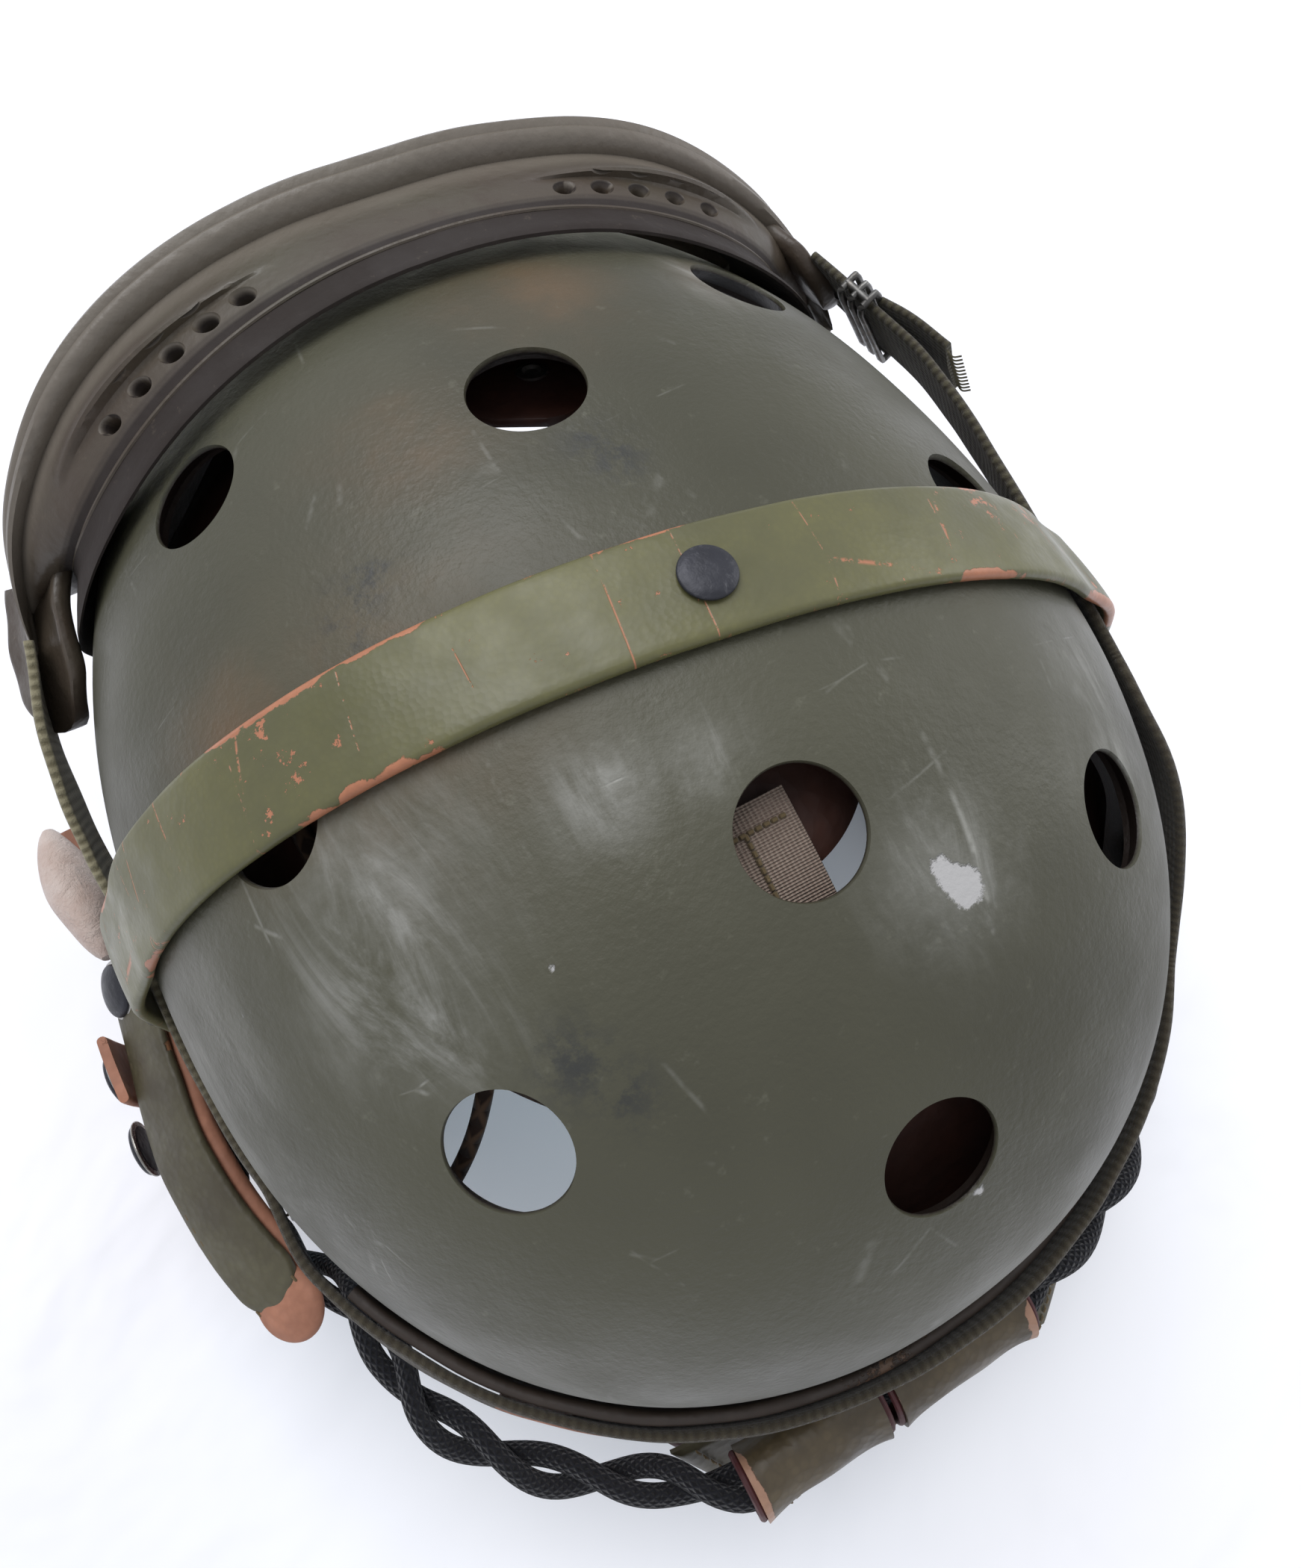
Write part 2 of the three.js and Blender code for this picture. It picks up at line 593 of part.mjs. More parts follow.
// The leather-covered spring runs back along the shell's edge and turns its face up towards its rear end.
function springLayer(width, from, thickness) {
  const route = [[118.5, 31, -25], [121, 16, -25.5], [123, 0, -27], [124.5, -18, -29], [122.5, -38, -31], [117, -58, -33]];
  const curve = new THREE.CatmullRomCurve3(route.map((p) => vec(...p)), false, 'centripetal');
  const steps = 10;
  const stations = Array.from({ length: steps + 1 }, (_, i) => {
    const along = curve.getTangent(i / steps);
    const level = vec(-along.y, along.x, 0).normalize();
    const lean = degrees(lerp(38, 58, i / steps));
    const outward = level.multiplyScalar(Math.cos(lean)).addScaledVector(Z, Math.sin(lean));
    const across = outward.clone().cross(along).normalize();
    return [curve.getPoint(i / steps).addScaledVector(outward, from), across, outward];
  });
  return strip(stations, width, thickness);
}

function receiverTab() {
  const profile = [[132.8, -27], [133.3, -35], [133.1, -46], [131.4, -58], [129, -70], [125.4, -82], [119, -92], [112.8, -98]];
  const points = profile.map(([x, z]) => vec(x, receiver.y, z));
  const stations = points.map((point, i) => {
    const along = points[Math.min(profile.length - 1, i + 1)].clone().sub(points[Math.max(0, i - 1)]).normalize();
    return [point, Y, vec(-along.z, 0, along.x)];
  });
  return strip(stations, 17, 2.2);
}

// A rounded leather plate behind the receiver tab, outside the spring.
function flapPlate() {
  const points = [[134, -2, -40], [134.4, -16, -41], [134, -30, -42], [132.8, -42, -43.5]].map((p) => vec(...p));
  const stations = points.map((point, i) => {
    const along = points[Math.min(3, i + 1)].clone().sub(points[Math.max(0, i - 1)]).normalize();
    const outward = vec(-along.y, along.x, 0).normalize();
    return [point, outward.clone().cross(along).normalize(), outward];
  });
  return strip(stations, 13, 2.2);
}

function cheekPad() {
  const rings = Array.from({ length: 9 }, (_, i) => {
    const t = i / 8;
    const swell = Math.sin(Math.PI * lerp(0.08, 0.92, t));
    const centre = vec(lerp(127.5, 129.5, t), lerp(36, 68, t), -24);
    return Array.from({ length: 10 }, (_, k) => {
      const angle = (2 * Math.PI * k) / 10;
      return centre.clone().add(vec(6 * swell * Math.cos(angle), 0, 8 * swell * Math.sin(angle)));
    });
  });
  return loft(rings);
}

function mirrored(geometry) {
  const twin = geometry.index ? geometry.toNonIndexed() : geometry.clone();
  const position = twin.attributes.position;
  for (let i = 0; i < position.count; i += 3) {
    const corners = [0, 2, 1].map((k) => new THREE.Vector3().fromBufferAttribute(position, i + k));
    corners.forEach((corner, k) => position.setXYZ(i + k, -corner.x, corner.y, corner.z));
  }
  twin.computeVertexNormals();
  return twin;
}

function earFlapPieces() {
  const hole = receiverHole();
  const cushion = [[13, 3], [19, 0], [25, 0], [29, 4], [29, 10], [26, 13], [13, 13], [13, 3]];
  const body = [[0, 0], [20, 0], [receiver.radius, 3], [receiver.radius, 12], [17, 18], [0, 20]];
  const snaps = [
    ['front', vec(125.4, 24, -24), vec(0.79, 0, 0.62)],
    ['tab', vec(135.9, receiver.y, -38), X],
    ['rear', vec(136.8, -10, -40), X],
  ];
  return [
    ['flap_panel', cut(flapSheet(0, earFlap.thickness, 0), [hole]), 'oliveLeather'],
    ['flap_lining', cut(flapSheet(-earFlap.lining - 1.4, -1.4, 0.07), [hole]), 'chamois'],
    ['receiver', atEar(lathe(body, 20), receiver.inner, receiver.y, receiver.z), 'bakelite'],
    ['ear_cushion', atEar(lathe(cushion, 20), receiver.inner - 15, receiver.y, receiver.z), 'blackRubber'],
    ['receiver_tab', receiverTab(), 'tanLeather'],
    ['flap_plate', flapPlate(), 'maroonLeather'],
    ['spring_cover', springLayer(20, 1.9, 2.2), 'oliveLeather'],
    ['spring_lining', springLayer(20, -2.2, 3.8), 'tanLeather'],
    ['cheek_pad', cheekPad(), 'chamois'],
    ...snaps.map(([place, point, outward]) => [`${place}_snap`, aim(snapCap(6.5), point, outward), 'blackMetal']),
  ];
}

function addEarFlaps() {
  for (const [name, geometry, material] of earFlapPieces()) {
    addPiece(`right_${name}`, geometry, material);
    addPiece(`left_${name}`, mirrored(geometry), material);
  }
}

// Neck flap ----------------------------------------------------------------------------------------------------
function neckPoint(u, v, offset) {
  const x = lerp(-lerp(58, 41, v), lerp(58, 41, v), u);
  const sweep = 5 * (x / 58) ** 2 * (1 - v);
  const y = lerp(-130.5, -156, v) + sweep;
  const z = lerp(-31, -68, v) + 5 * (Math.abs(2 * u - 1) ** 3) * v;
  return vec(x, y - 0.82 * offset, z + 0.57 * offset);
}

function neckSheet(from, to) {
  return sheet((u, v) => neckPoint(u, v, to), (u, v) => neckPoint(u, v, from), 12, 4);
}

function cordSleeve([start, end]) {
  const ring = (x, grow) => Array.from({ length: 14 }, (_, k) => {
    const angle = (2 * Math.PI * k) / 14;
    const along = (7.5 + grow) * Math.cos(angle);
    const away = (5.2 + grow) * Math.sin(angle);
    return vec(x, sleeve.y - 0.57 * along - 0.82 * away, sleeve.z - 0.82 * along + 0.57 * away);
  });
  return loft([ring(start, 2), ring(end, 2), ring(end, 0), ring(start, 0)], { loop: true });
}

function addNeckFlap() {
  addPiece('neck_flap', neckSheet(0, 2.4), 'oliveLeather');
  addPiece('neck_flap_lining', neckSheet(-2.8, -0.6), 'maroonLeather');
  addPiece('left_cord_sleeve', cordSleeve(sleeve.left), 'oliveLeather');
  addPiece('right_cord_sleeve', cordSleeve(sleeve.right), 'oliveLeather');
}

// Receiver lead ------------------------------------------------------------------------------------------------
// Each stretch of the lead rides on one part, so the whole route is cut where it crosses a hinge.
function addLead() {
  const whole = new THREE.CatmullRomCurve3(LEAD_ROUTE.map((p) => vec(...p)), false, 'centripetal');
  const length = whole.getLength();
  const samples = whole.getSpacedPoints(600);
  const share = (test) => samples.findIndex(test) / 600;
  const cuts = [
    0, share((p) => p.y < -79), share((p) => p.x > -lead.flapReach), share((p) => p.x > lead.flapReach),
    share((p) => p.x > 0 && p.y > -79 && p.x > 100), 1,
  ];
  const names = ['lead_left_ear', 'lead_left_back', 'lead_in_sleeves', 'lead_right_back', 'lead_right_ear'];
  const half = lead.gap / 2 / length;
  names.forEach((name, i) => {
    const start = cuts[i] + (i > 0 ? half : 0);
    const end = cuts[i + 1] - (i < names.length - 1 ? half : 0);
    const steps = Math.ceil((length * (end - start)) / (5 * lead.radius));
    const points = Array.from({ length: 2 * steps + 1 }, (_, k) => whole.getPointAt(lerp(start, end, k / (2 * steps))));
    addPiece(name, roundTube(points, lead.radius, 8, steps), 'blackCloth');
  });
  addPiece('left_lead_keeper', levelBand(26, 28, -23, -10, 7.6, 2.4), 'tanLeather');
  addPiece('right_lead_keeper', levelBand(38, 40, -23, -10, 7.6, 2.4), 'tanLeather');
}

addShell();
addSuspension();
addCrownStrap();
addGoggleStrap();
addGoggles();
addEarFlaps();
addNeckFlap();
addLead();

export default root;
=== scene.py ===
"""Looks of a vintage crew helmet with receivers and goggles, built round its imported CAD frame.

Shapes are laid out in millimetres in the dome's own frame, whose origin is the middle of its widest level:
+X to the wearer's right, +Y forward, +Z up. place() turns them into metres in the row frame.
"""
import math

import bmesh
import bpy
import numpy as np
from mathutils import Matrix, Vector, noise


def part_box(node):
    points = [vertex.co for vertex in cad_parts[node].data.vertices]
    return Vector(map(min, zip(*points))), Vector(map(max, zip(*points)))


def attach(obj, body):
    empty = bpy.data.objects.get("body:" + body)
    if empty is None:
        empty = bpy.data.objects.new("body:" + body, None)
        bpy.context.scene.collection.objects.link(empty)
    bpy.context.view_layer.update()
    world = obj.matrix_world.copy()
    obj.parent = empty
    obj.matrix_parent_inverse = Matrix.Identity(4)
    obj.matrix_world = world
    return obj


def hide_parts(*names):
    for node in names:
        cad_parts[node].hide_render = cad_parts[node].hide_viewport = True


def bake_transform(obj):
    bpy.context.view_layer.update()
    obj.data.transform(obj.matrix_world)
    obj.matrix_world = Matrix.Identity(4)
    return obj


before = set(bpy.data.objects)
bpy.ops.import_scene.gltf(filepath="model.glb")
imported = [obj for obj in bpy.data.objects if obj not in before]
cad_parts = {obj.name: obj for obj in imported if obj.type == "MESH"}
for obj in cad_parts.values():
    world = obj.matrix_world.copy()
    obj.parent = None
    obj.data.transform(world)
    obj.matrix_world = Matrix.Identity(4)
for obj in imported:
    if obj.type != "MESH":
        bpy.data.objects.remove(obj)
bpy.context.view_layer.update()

# Driving dimensions, in millimetres ---------------------------------------------------------------
HALF_WIDTH, FRONT, REAR, HEIGHT = 108.0, 151.8, 125.2, 98.8
PLAN_POWER, RISE_POWER = 2.173, 2.103
WALL, SKIRT, SKIRT_TAPER = 4.0, 20.0, 0.04
VENT_RADIUS = 10.3
CENTRE_VENTS = [(0, 48.6), (0, -40.7), (0, -91.9)]
SIDE_VENTS = [(57.5, 68.2), (68.9, 3.3), (58.3, -58.9)]

STRAP_WIDTH, STRAP_THICKNESS, STRAP_SLANT, STRAP_EQUATOR = 20.0, 2.4, -0.12, 0.88
WEB_WIDTH, WEB_THICKNESS = 25.0, 2.0
NECK_BAND_THICKNESS = 3.0
FLAP_THICKNESS, FLAP_LINING = 3.4, 3.6
RECEIVER_Y, RECEIVER_Z, RECEIVER_RADIUS, RECEIVER_INNER = 8.0, -66.0, 25.0, 104.5
SLEEVE_Y, SLEEVE_Z = -139.5, -26.0
GOGGLES_FORWARD, GOGGLES_HEIGHT, GOGGLES_TILT = 137.5, 60.0, math.radians(40)
LENS_HALF_WIDTH, LENS_HALF_HEIGHT, LENS_WRAP = 101.0, 31.0, 60.0
FACE_HALF_WIDTH, FACE_HALF_HEIGHT = 89.0, 50.0

shell_low, shell_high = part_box("crown_shell")
DOME_CENTRE = np.array([0.0, shell_high.y - FRONT / 1000, shell_low.z + SKIRT / 1000])


def place(points):
    """Millimetres in the dome's frame to metres in the row frame."""
    return np.asarray(points, float) * 0.001 + DOME_CENTRE


# Camera, light and floor --------------------------------------------------------------------------
def add_camera():
    azimuth, elevation, roll = math.radians(-40.0), math.radians(68.9), math.radians(11.6)
    aim = Vector(place([-0.28, -4.93, 30.0]))
    back = Vector((
        math.sin(azimuth) * math.cos(elevation),
        -math.cos(azimuth) * math.cos(elevation),
        math.sin(elevation),
    ))
    right = (-back).cross(Vector((0, 0, 1))).normalized()
    up = right.cross(-back)
    across = right * math.cos(roll) + up * math.sin(roll)
    upward = up * math.cos(roll) - right * math.sin(roll)
    camera = bpy.data.objects.new("camera", bpy.data.cameras.new("camera"))
    bpy.context.scene.collection.objects.link(camera)
    camera.data.lens = 24.38
    camera.data.sensor_width = 36.0
    camera.data.clip_start = 0.005
    turn = Matrix((across, upward, back)).transposed()
    distance = 0.2247
    camera.matrix_world = Matrix.Translation(aim + back * distance) @ turn.to_4x4()
    bpy.context.scene.camera = camera


def add_light(name, location, size, power, colour=(1, 1, 1), aim=(0, 0, 0.1)):
    data = bpy.data.lights.new(name, "AREA")
    data.size, data.energy, data.color = size, power, colour
    light = bpy.data.objects.new(name, data)
    light.location = location
    light.rotation_euler = (Vector(aim) - Vector(location)).to_track_quat("-Z", "Y").to_euler()
    bpy.context.scene.collection.objects.link(light)
    return light


def add_surroundings():
    world = bpy.data.worlds.new("soft_world")
    world.use_nodes = True
    world.node_tree.nodes["Background"].inputs["Color"].default_value = (0.93, 0.95, 1.0, 1)
    world.node_tree.nodes["Background"].inputs["Strength"].default_value = 0.7
    bpy.context.scene.world = world
    add_light("window_light", (-0.2, 0.8, 1.7), 1.3, 23, (0.98, 0.98, 1.0))
    add_light("side_fill", (1.4, 0.0, 0.8), 0.9, 5)
    under = add_light("floor_bounce", (-0.02, -0.03, 0.135), 0.07, 0.034, (0.6, 0.86, 1.0),
                      (-0.03, -0.05, 0.0))
    under.visible_camera = False
    bpy.context.scene.view_settings.view_transform = "Standard"


# Curves and surfaces ------------------------------------------------------------------------------
def unit(v):
    return v / np.maximum(np.linalg.norm(v, axis=-1, keepdims=True), 1e-12)


def smoothstep(low, high, value):
    t = np.clip((np.asarray(value, float) - low) / (high - low), 0, 1)
    return t * t * (3 - 2 * t)


def lerp(a, b, t):
    return a + (b - a) * t


def spline(points, count):
    """Evenly spaced points on a smooth centripetal curve through the given ones."""
    p = np.asarray(points, float)
    p = np.vstack([2 * p[0] - p[1], p, 2 * p[-1] - p[-2]])
    out = []
    for i in range(1, len(p) - 2):
        a, b, c, d = p[i - 1], p[i], p[i + 1], p[i + 2]
        gaps = [max(math.sqrt(np.linalg.norm(y - x)), 1e-6) for x, y in ((a, b), (b, c), (c, d))]
        lead = gaps[1] * ((b - a) / gaps[0] - (c - a) / (gaps[0] + gaps[1]) + (c - b) / gaps[1])
        tail = gaps[1] * ((c - b) / gaps[1] - (d - b) / (gaps[1] + gaps[2]) + (d - c) / gaps[2])
        t = np.linspace(0, 1, 40, endpoint=False)[:, None]
        out.append((2 * t**3 - 3 * t**2 + 1) * b + (t**3 - 2 * t**2 + t) * lead
                   + (3 * t**2 - 2 * t**3) * c + (t**3 - t**2) * tail)
    return resample(np.vstack([*out, p[-2:-1]]), count)


def reach_along(line):
    """How far along the line each of its points is."""
    return np.concatenate([[0], np.cumsum(np.linalg.norm(np.diff(line, axis=0), axis=1))])


def resample(line, count):
    """Evenly spaced points on a line."""
    reach = reach_along(line)
    wanted = np.linspace(0, reach[-1], count)
    return np.stack([np.interp(wanted, reach, line[:, k]) for k in range(3)], 1)


def length_of(line):
    return float(np.linalg.norm(np.diff(line, axis=0), axis=1).sum())


def spokes(direction, count, guide):
    """Unit directions square to a direction, evenly round it. The guide says where they start."""
    side = unit(np.cross(direction, guide))
    other = np.cross(direction, side)
    angle = np.linspace(0, 2 * math.pi, count, endpoint=False)
    return np.cos(angle)[:, None] * side + np.sin(angle)[:, None] * other


def gathered(parts):
    """Points and faces of many small meshes as one."""
    points, faces = [], []
    for own, skin in parts:
        faces += [tuple(len(points) + i for i in face) for face in skin]
        points += np.asarray(own).tolist()
    return points, faces


def tangents(line, closed=False):
    if closed:
        return unit(np.roll(line, -1, 0) - np.roll(line, 1, 0))
    return unit(np.gradient(line, axis=0))


def dome_reach(p):
    length = np.where(p[..., 1] > 0, FRONT, REAR)
    plan = np.abs(p[..., 0] / HALF_WIDTH)**PLAN_POWER + np.abs(p[..., 1] / length)**PLAN_POWER
    return (plan**(RISE_POWER / PLAN_POWER) + np.abs(p[..., 2] / HEIGHT)**RISE_POWER)**(1 / RISE_POWER)


def dome_normal(p):
    step = np.eye(3) * 0.01
    return unit(np.stack([dome_reach(p + step[k]) - dome_reach(p - step[k]) for k in range(3)], -1))


def on_dome(azimuth, rise, offset=0.0):
    """Points on the dome at an azimuth (from +X towards +Y) and a rise angle, moved out along the normal."""
    azimuth, rise = np.broadcast_arrays(np.asarray(azimuth, float), np.asarray(rise, float))
    length = np.where(np.sin(azimuth) > 0, FRONT, REAR)
    p = np.stack([
        HALF_WIDTH * np.cos(rise) * np.cos(azimuth),
        length * np.cos(rise) * np.sin(azimuth),
        HEIGHT * np.sin(rise),
    ], -1)
    p = p / dome_reach(p)[..., None]
    return p + dome_normal(p) * np.asarray(offset, float)[..., None]


def above_dome(x, y, offset=0.0):
    """Points on the dome above a plan position."""
    x, y = np.broadcast_arrays(np.asarray(x, float), np.asarray(y, float))
    length = np.where(y > 0, FRONT, REAR)
    plan = np.abs(x / HALF_WIDTH)**PLAN_POWER + np.abs(y / length)**PLAN_POWER
    inside = np.maximum(0, 1 - plan**(RISE_POWER / PLAN_POWER))
    p = np.stack([x, y, HEIGHT * inside**(1 / RISE_POWER)], -1)
    return p + dome_normal(p) * np.asarray(offset, float)[..., None]


def outline(azimuth, height, offset=0.0):
    """Points at a height on the shell's outside, above or below the widest level, moved out level."""
    azimuth, height = np.broadcast_arrays(np.asarray(azimuth, float), np.asarray(height, float))
    level = (1 - (np.maximum(height, 0) / HEIGHT)**RISE_POWER)**(1 / RISE_POWER)
    length = np.where(np.sin(azimuth) > 0, FRONT, REAR)
    reach = (np.abs(np.cos(azimuth) / HALF_WIDTH)**PLAN_POWER
             + np.abs(np.sin(azimuth) / length)**PLAN_POWER)**(-1 / PLAN_POWER)
    radius = reach * level + offset + np.minimum(height, 0) * SKIRT_TAPER
    return np.stack([radius * np.cos(azimuth), radius * np.sin(azimuth), height], -1)


def outline_normal(azimuth):
    tangent = unit(outline(azimuth + 0.01, 0) - outline(azimuth - 0.01, 0))
    return np.stack([tangent[..., 1], -tangent[..., 0], np.zeros_like(tangent[..., 0])], -1)


def ripple(points, scale, seed=0.0):
    """Smooth noise from -1 to 1 at each point; scale is the size of its lumps in millimetres."""
    shift = Vector((seed * 7.3, seed * 3.1, seed * 5.7))
    return np.array([noise.noise(Vector(p) / scale + shift) for p in np.asarray(points).reshape(-1, 3)])


# Mesh building ------------------------------------------------------------------------------------
def piece(name, points, faces, finish, body, replaces=(), sharp=40, **attributes):
    """A mesh object from millimetre points; attributes are per-point numbers or vectors for its material."""
    mesh = bpy.data.meshes.new(name)
    mesh.from_pydata(place(points).tolist(), [], [list(map(int, f)) for f in faces])
    tidy = bmesh.new()
    tidy.from_mesh(mesh)
    bmesh.ops.recalc_face_normals(tidy, faces=tidy.faces)
    tidy.to_mesh(mesh)
    tidy.free()
    for key, values in attributes.items():
        values = np.asarray(values, np.float32)
        kind = "FLOAT_VECTOR" if values.ndim == 2 else "FLOAT"
        store = mesh.attributes.new(key, kind, "POINT")
        store.data.foreach_set("vector" if values.ndim == 2 else "value", values.ravel())
    mesh.materials.append(finish)
    smooth(mesh, sharp)
    made = bpy.data.objects.new(name, mesh)
    bpy.context.scene.collection.objects.link(made)
    if body:
        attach(made, body)
    if replaces:
        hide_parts(replaces)
    return made


def smooth(mesh, sharp):
    """Smooth shading, with edges sharper than an angle in degrees kept."""
    mesh.polygons.foreach_set("use_smooth", [True] * len(mesh.polygons))
    mesh.set_sharp_from_angle(angle=math.radians(sharp))


def grid_faces(rows, columns, wrap_rows=False, wrap_columns=False):
    faces = []
    for r in range(rows if wrap_rows else rows - 1):
        for c in range(columns if wrap_columns else columns - 1):
            down, over = (r + 1) % rows, (c + 1) % columns
            faces.append((r * columns + c, r * columns + over, down * columns + over, down * columns + c))
    return faces


def sheet_faces(rows, columns):
    """Faces of two grids of points, one behind the other, closed round their border."""
    count = rows * columns
    faces = grid_faces(rows, columns)
    faces += [tuple(count + i for i in reversed(f)) for f in faces]
    border = [r * columns for r in range(rows - 1)] + [(rows - 1) * columns + c for c in range(columns - 1)]
    border += [r * columns + columns - 1 for r in range(rows - 1, 0, -1)] + list(range(columns - 1, 0, -1))
    for a, b in zip(border, border[1:] + border[:1]):
        faces.append((a, b, count + b, count + a))
    return faces


def loft(rings, loop=False, ends="flat"):
    """Points and faces of a skin over closed rings. Its ends are flat, or two points are given as tips."""
    rings = np.asarray(rings, float)
    rows, columns = rings.shape[:2]
    points = rings.reshape(-1, 3)
    faces = grid_faces(rows, columns, wrap_rows=loop, wrap_columns=True)
    if loop:
        return points, faces
    first, last = list(range(columns)), list(range((rows - 1) * columns, rows * columns))
    if isinstance(ends, str):
        return points, faces + [first[::-1], last]
    n = len(points)
    points = np.vstack([points, np.asarray(ends, float)])
    for c in range(columns):
        over = (c + 1) % columns
        faces += [(n, first[over], first[c]), (n + 1, last[c], last[over])]
    return points, faces


def section(width, thickness, radius=None, crown=0.0, along=10):
    """Rounded rectangle from 0 up to thickness, whose top may be crowned; returns (across, up) points."""
    radius = min(radius or 0.45 * thickness, 0.49 * thickness)
    half = width / 2 - radius
    points = []
    for side, middle, start in ((1, radius, -90), (1, thickness - radius, 0), (-1, thickness - radius, 90),
                                (-1, radius, 180)):
        for a in np.radians(np.linspace(start, start + 90, 4)):
            points.append((side * half + radius * math.cos(a), middle + radius * math.sin(a)))
        if start in (0, 180):
            edge = np.linspace(side * half, -side * half, along + 2)[1:-1]
            points += [(x, thickness if start == 0 else 0.0) for x in edge]
    points = np.array(points)
    points[:, 1] += crown * (1 - (points[:, 0] / (width / 2))**2)
    return points


def ribbon(name, line, outward, width, thickness, finish, body, replaces=(), loop=False, crown=0.0,
           wobble=0.0, lumps=14.0, curl=0.0, round_end=False, seed=1.0, along=10):
    """A strip of leather or webbing along a line. Its strip attribute holds across, along and up."""
    line = np.asarray(line, float)
    count = len(line)
    widths = np.broadcast_to(np.asarray(width, float), (count,)).copy()
    forward = tangents(line, loop)
    outward = unit(outward - forward * (outward * forward).sum(-1, keepdims=True))
    across = np.cross(outward, forward)
    reach = reach_along(line)
    if round_end:
        left = np.minimum(reach[-1] - reach, widths / 2) / (widths / 2)
        widths *= np.maximum(0.12, np.sqrt(np.maximum(0, 1 - (1 - left)**2)))
    level = section(1.0, thickness, along=along)[:, 1] / thickness
    rings, strip, edge = [], [], []
    for i in range(count):
        cross = section(widths[i], thickness, crown=crown, along=along)
        share = cross[:, 0] / (widths[i] / 2)
        lift = cross[:, 1] - curl * np.abs(share)**3
        rings.append(line[i] + across[i] * cross[:, :1] + outward[i] * lift[:, None])
        strip.append(np.stack([share, np.full(len(cross), reach[i] / 1000), level], 1))
        ends = 0 if loop else 1 - min(1, reach[i] / 2, (reach[-1] - reach[i]) / 2)
        edge.append(np.maximum(smoothstep(0.72, 1.0, np.abs(share)), ends))
    rings = np.array(rings)
    if wobble:
        bend = ripple(rings, lumps, seed).reshape(rings.shape[:2]) * wobble
        rings += outward[:, None, :] * bend[..., None]
    points, faces = loft(rings, loop)
    return piece(name, points, faces, finish, body, replaces, strip=np.vstack(strip),
                 edge=np.concatenate(edge))


def slab(name, surface, thickness, finish, body, replaces=(), steps=(60, 40), margin=0.0, wobble=0.0,
         seed=1.0):
    """A thick sheet with a rounded rim: surface(u, v) gives its inner face, and it grows outwards."""
    across, down = steps
    u, v = np.meshgrid(np.linspace(0, 1, across + 1), np.linspace(0, 1, down + 1), indexing="ij")
    base = surface(margin + (1 - 2 * margin) * u, margin + (1 - 2 * margin) * v)
    normal = unit(np.cross(np.gradient(base, axis=0), np.gradient(base, axis=1)))
    side = np.sign((normal * (base - np.array([0, -4, -30.0]))).sum())
    normal *= side if side else 1
    rim = np.minimum(np.minimum(u, 1 - u) * across, np.minimum(v, 1 - v) * down)
    lift = ripple(base, 18.0, seed).reshape(u.shape)[..., None] * wobble
    tuck = np.clip(1 - rim, 0, 1)[..., None] * 0.3 * thickness
    points = np.vstack([(base + normal * (thickness - tuck + lift)).reshape(-1, 3),
                        (base + normal * (tuck + lift)).reshape(-1, 3)])
    wear = np.clip(1 - rim.ravel() / 2.5, 0, 1)
    return piece(name, points, sheet_faces(across + 1, down + 1), finish, body, replaces, sharp=50,
                 edge=np.concatenate([wear, wear]))


def turned(name, profile, position, direction, finish, body, replaces=(), sides=64, sharp=35):
    """A body of revolution: profile is (radius, height) along direction. Off the axis it closes as a ring."""
    direction = unit(np.asarray(direction, float))
    spoke = spokes(direction, sides, [0.3, 0.5, 0.81])
    rings = [np.asarray(position) + spoke * r + direction * h for r, h in profile if r > 0]
    if profile[0][0] > 0:
        points, faces = loft(rings, loop=True)
    else:
        points, faces = loft(rings, ends=[np.asarray(position) + direction * profile[k][1] for k in (0, -1)])
    return piece(name, points, faces, finish, body, replaces, sharp=sharp)


def rounded(profile, radius, steps=4):
    """The profile with each inner corner replaced by a small arc."""
    out = [profile[0]]
    for a, b, c in zip(profile, profile[1:], profile[2:]):
        a, b, c = (np.array(q, float) for q in (a, b, c))
        reach = min(radius, 0.45 * np.linalg.norm(b - a), 0.45 * np.linalg.norm(c - b))
        start, end = b + unit(a - b) * reach, b + unit(c - b) * reach
        for t in np.linspace(0, 1, steps):
            out.append(tuple((1 - t)**2 * start + 2 * t * (1 - t) * b + t**2 * end))
    return out + [profile[-1]]


def tube(name, line, radius, finish, body, replaces=(), sides=12, loop=False):
    """A round cord along a line. The strip attribute holds the angle round it and the length along it."""
    line = np.asarray(line, float)
    forward = tangents(line, loop)
    side = unit(np.cross(forward, [0.13, 0.21, 0.97]))
    other = np.cross(forward, side)
    angle = np.linspace(0, 2 * math.pi, sides, endpoint=False)
    rings = [p + radius * (np.cos(angle)[:, None] * s + np.sin(angle)[:, None] * o)
             for p, s, o in zip(line, side, other)]
    points, faces = loft(rings, loop)
    strip = np.array([(a / math.pi - 1, reach / 1000, 1.0) for reach in reach_along(line) for a in angle])
    return piece(name, points, faces, finish, body, replaces, strip=strip)


def join(name, made):
    """Joins pieces that ride on one body into the first, under a new name."""
    with bpy.context.temp_override(active_object=made[0], selected_editable_objects=made):
        bpy.ops.object.join()
    made[0].name = made[0].data.name = name
    return made[0]


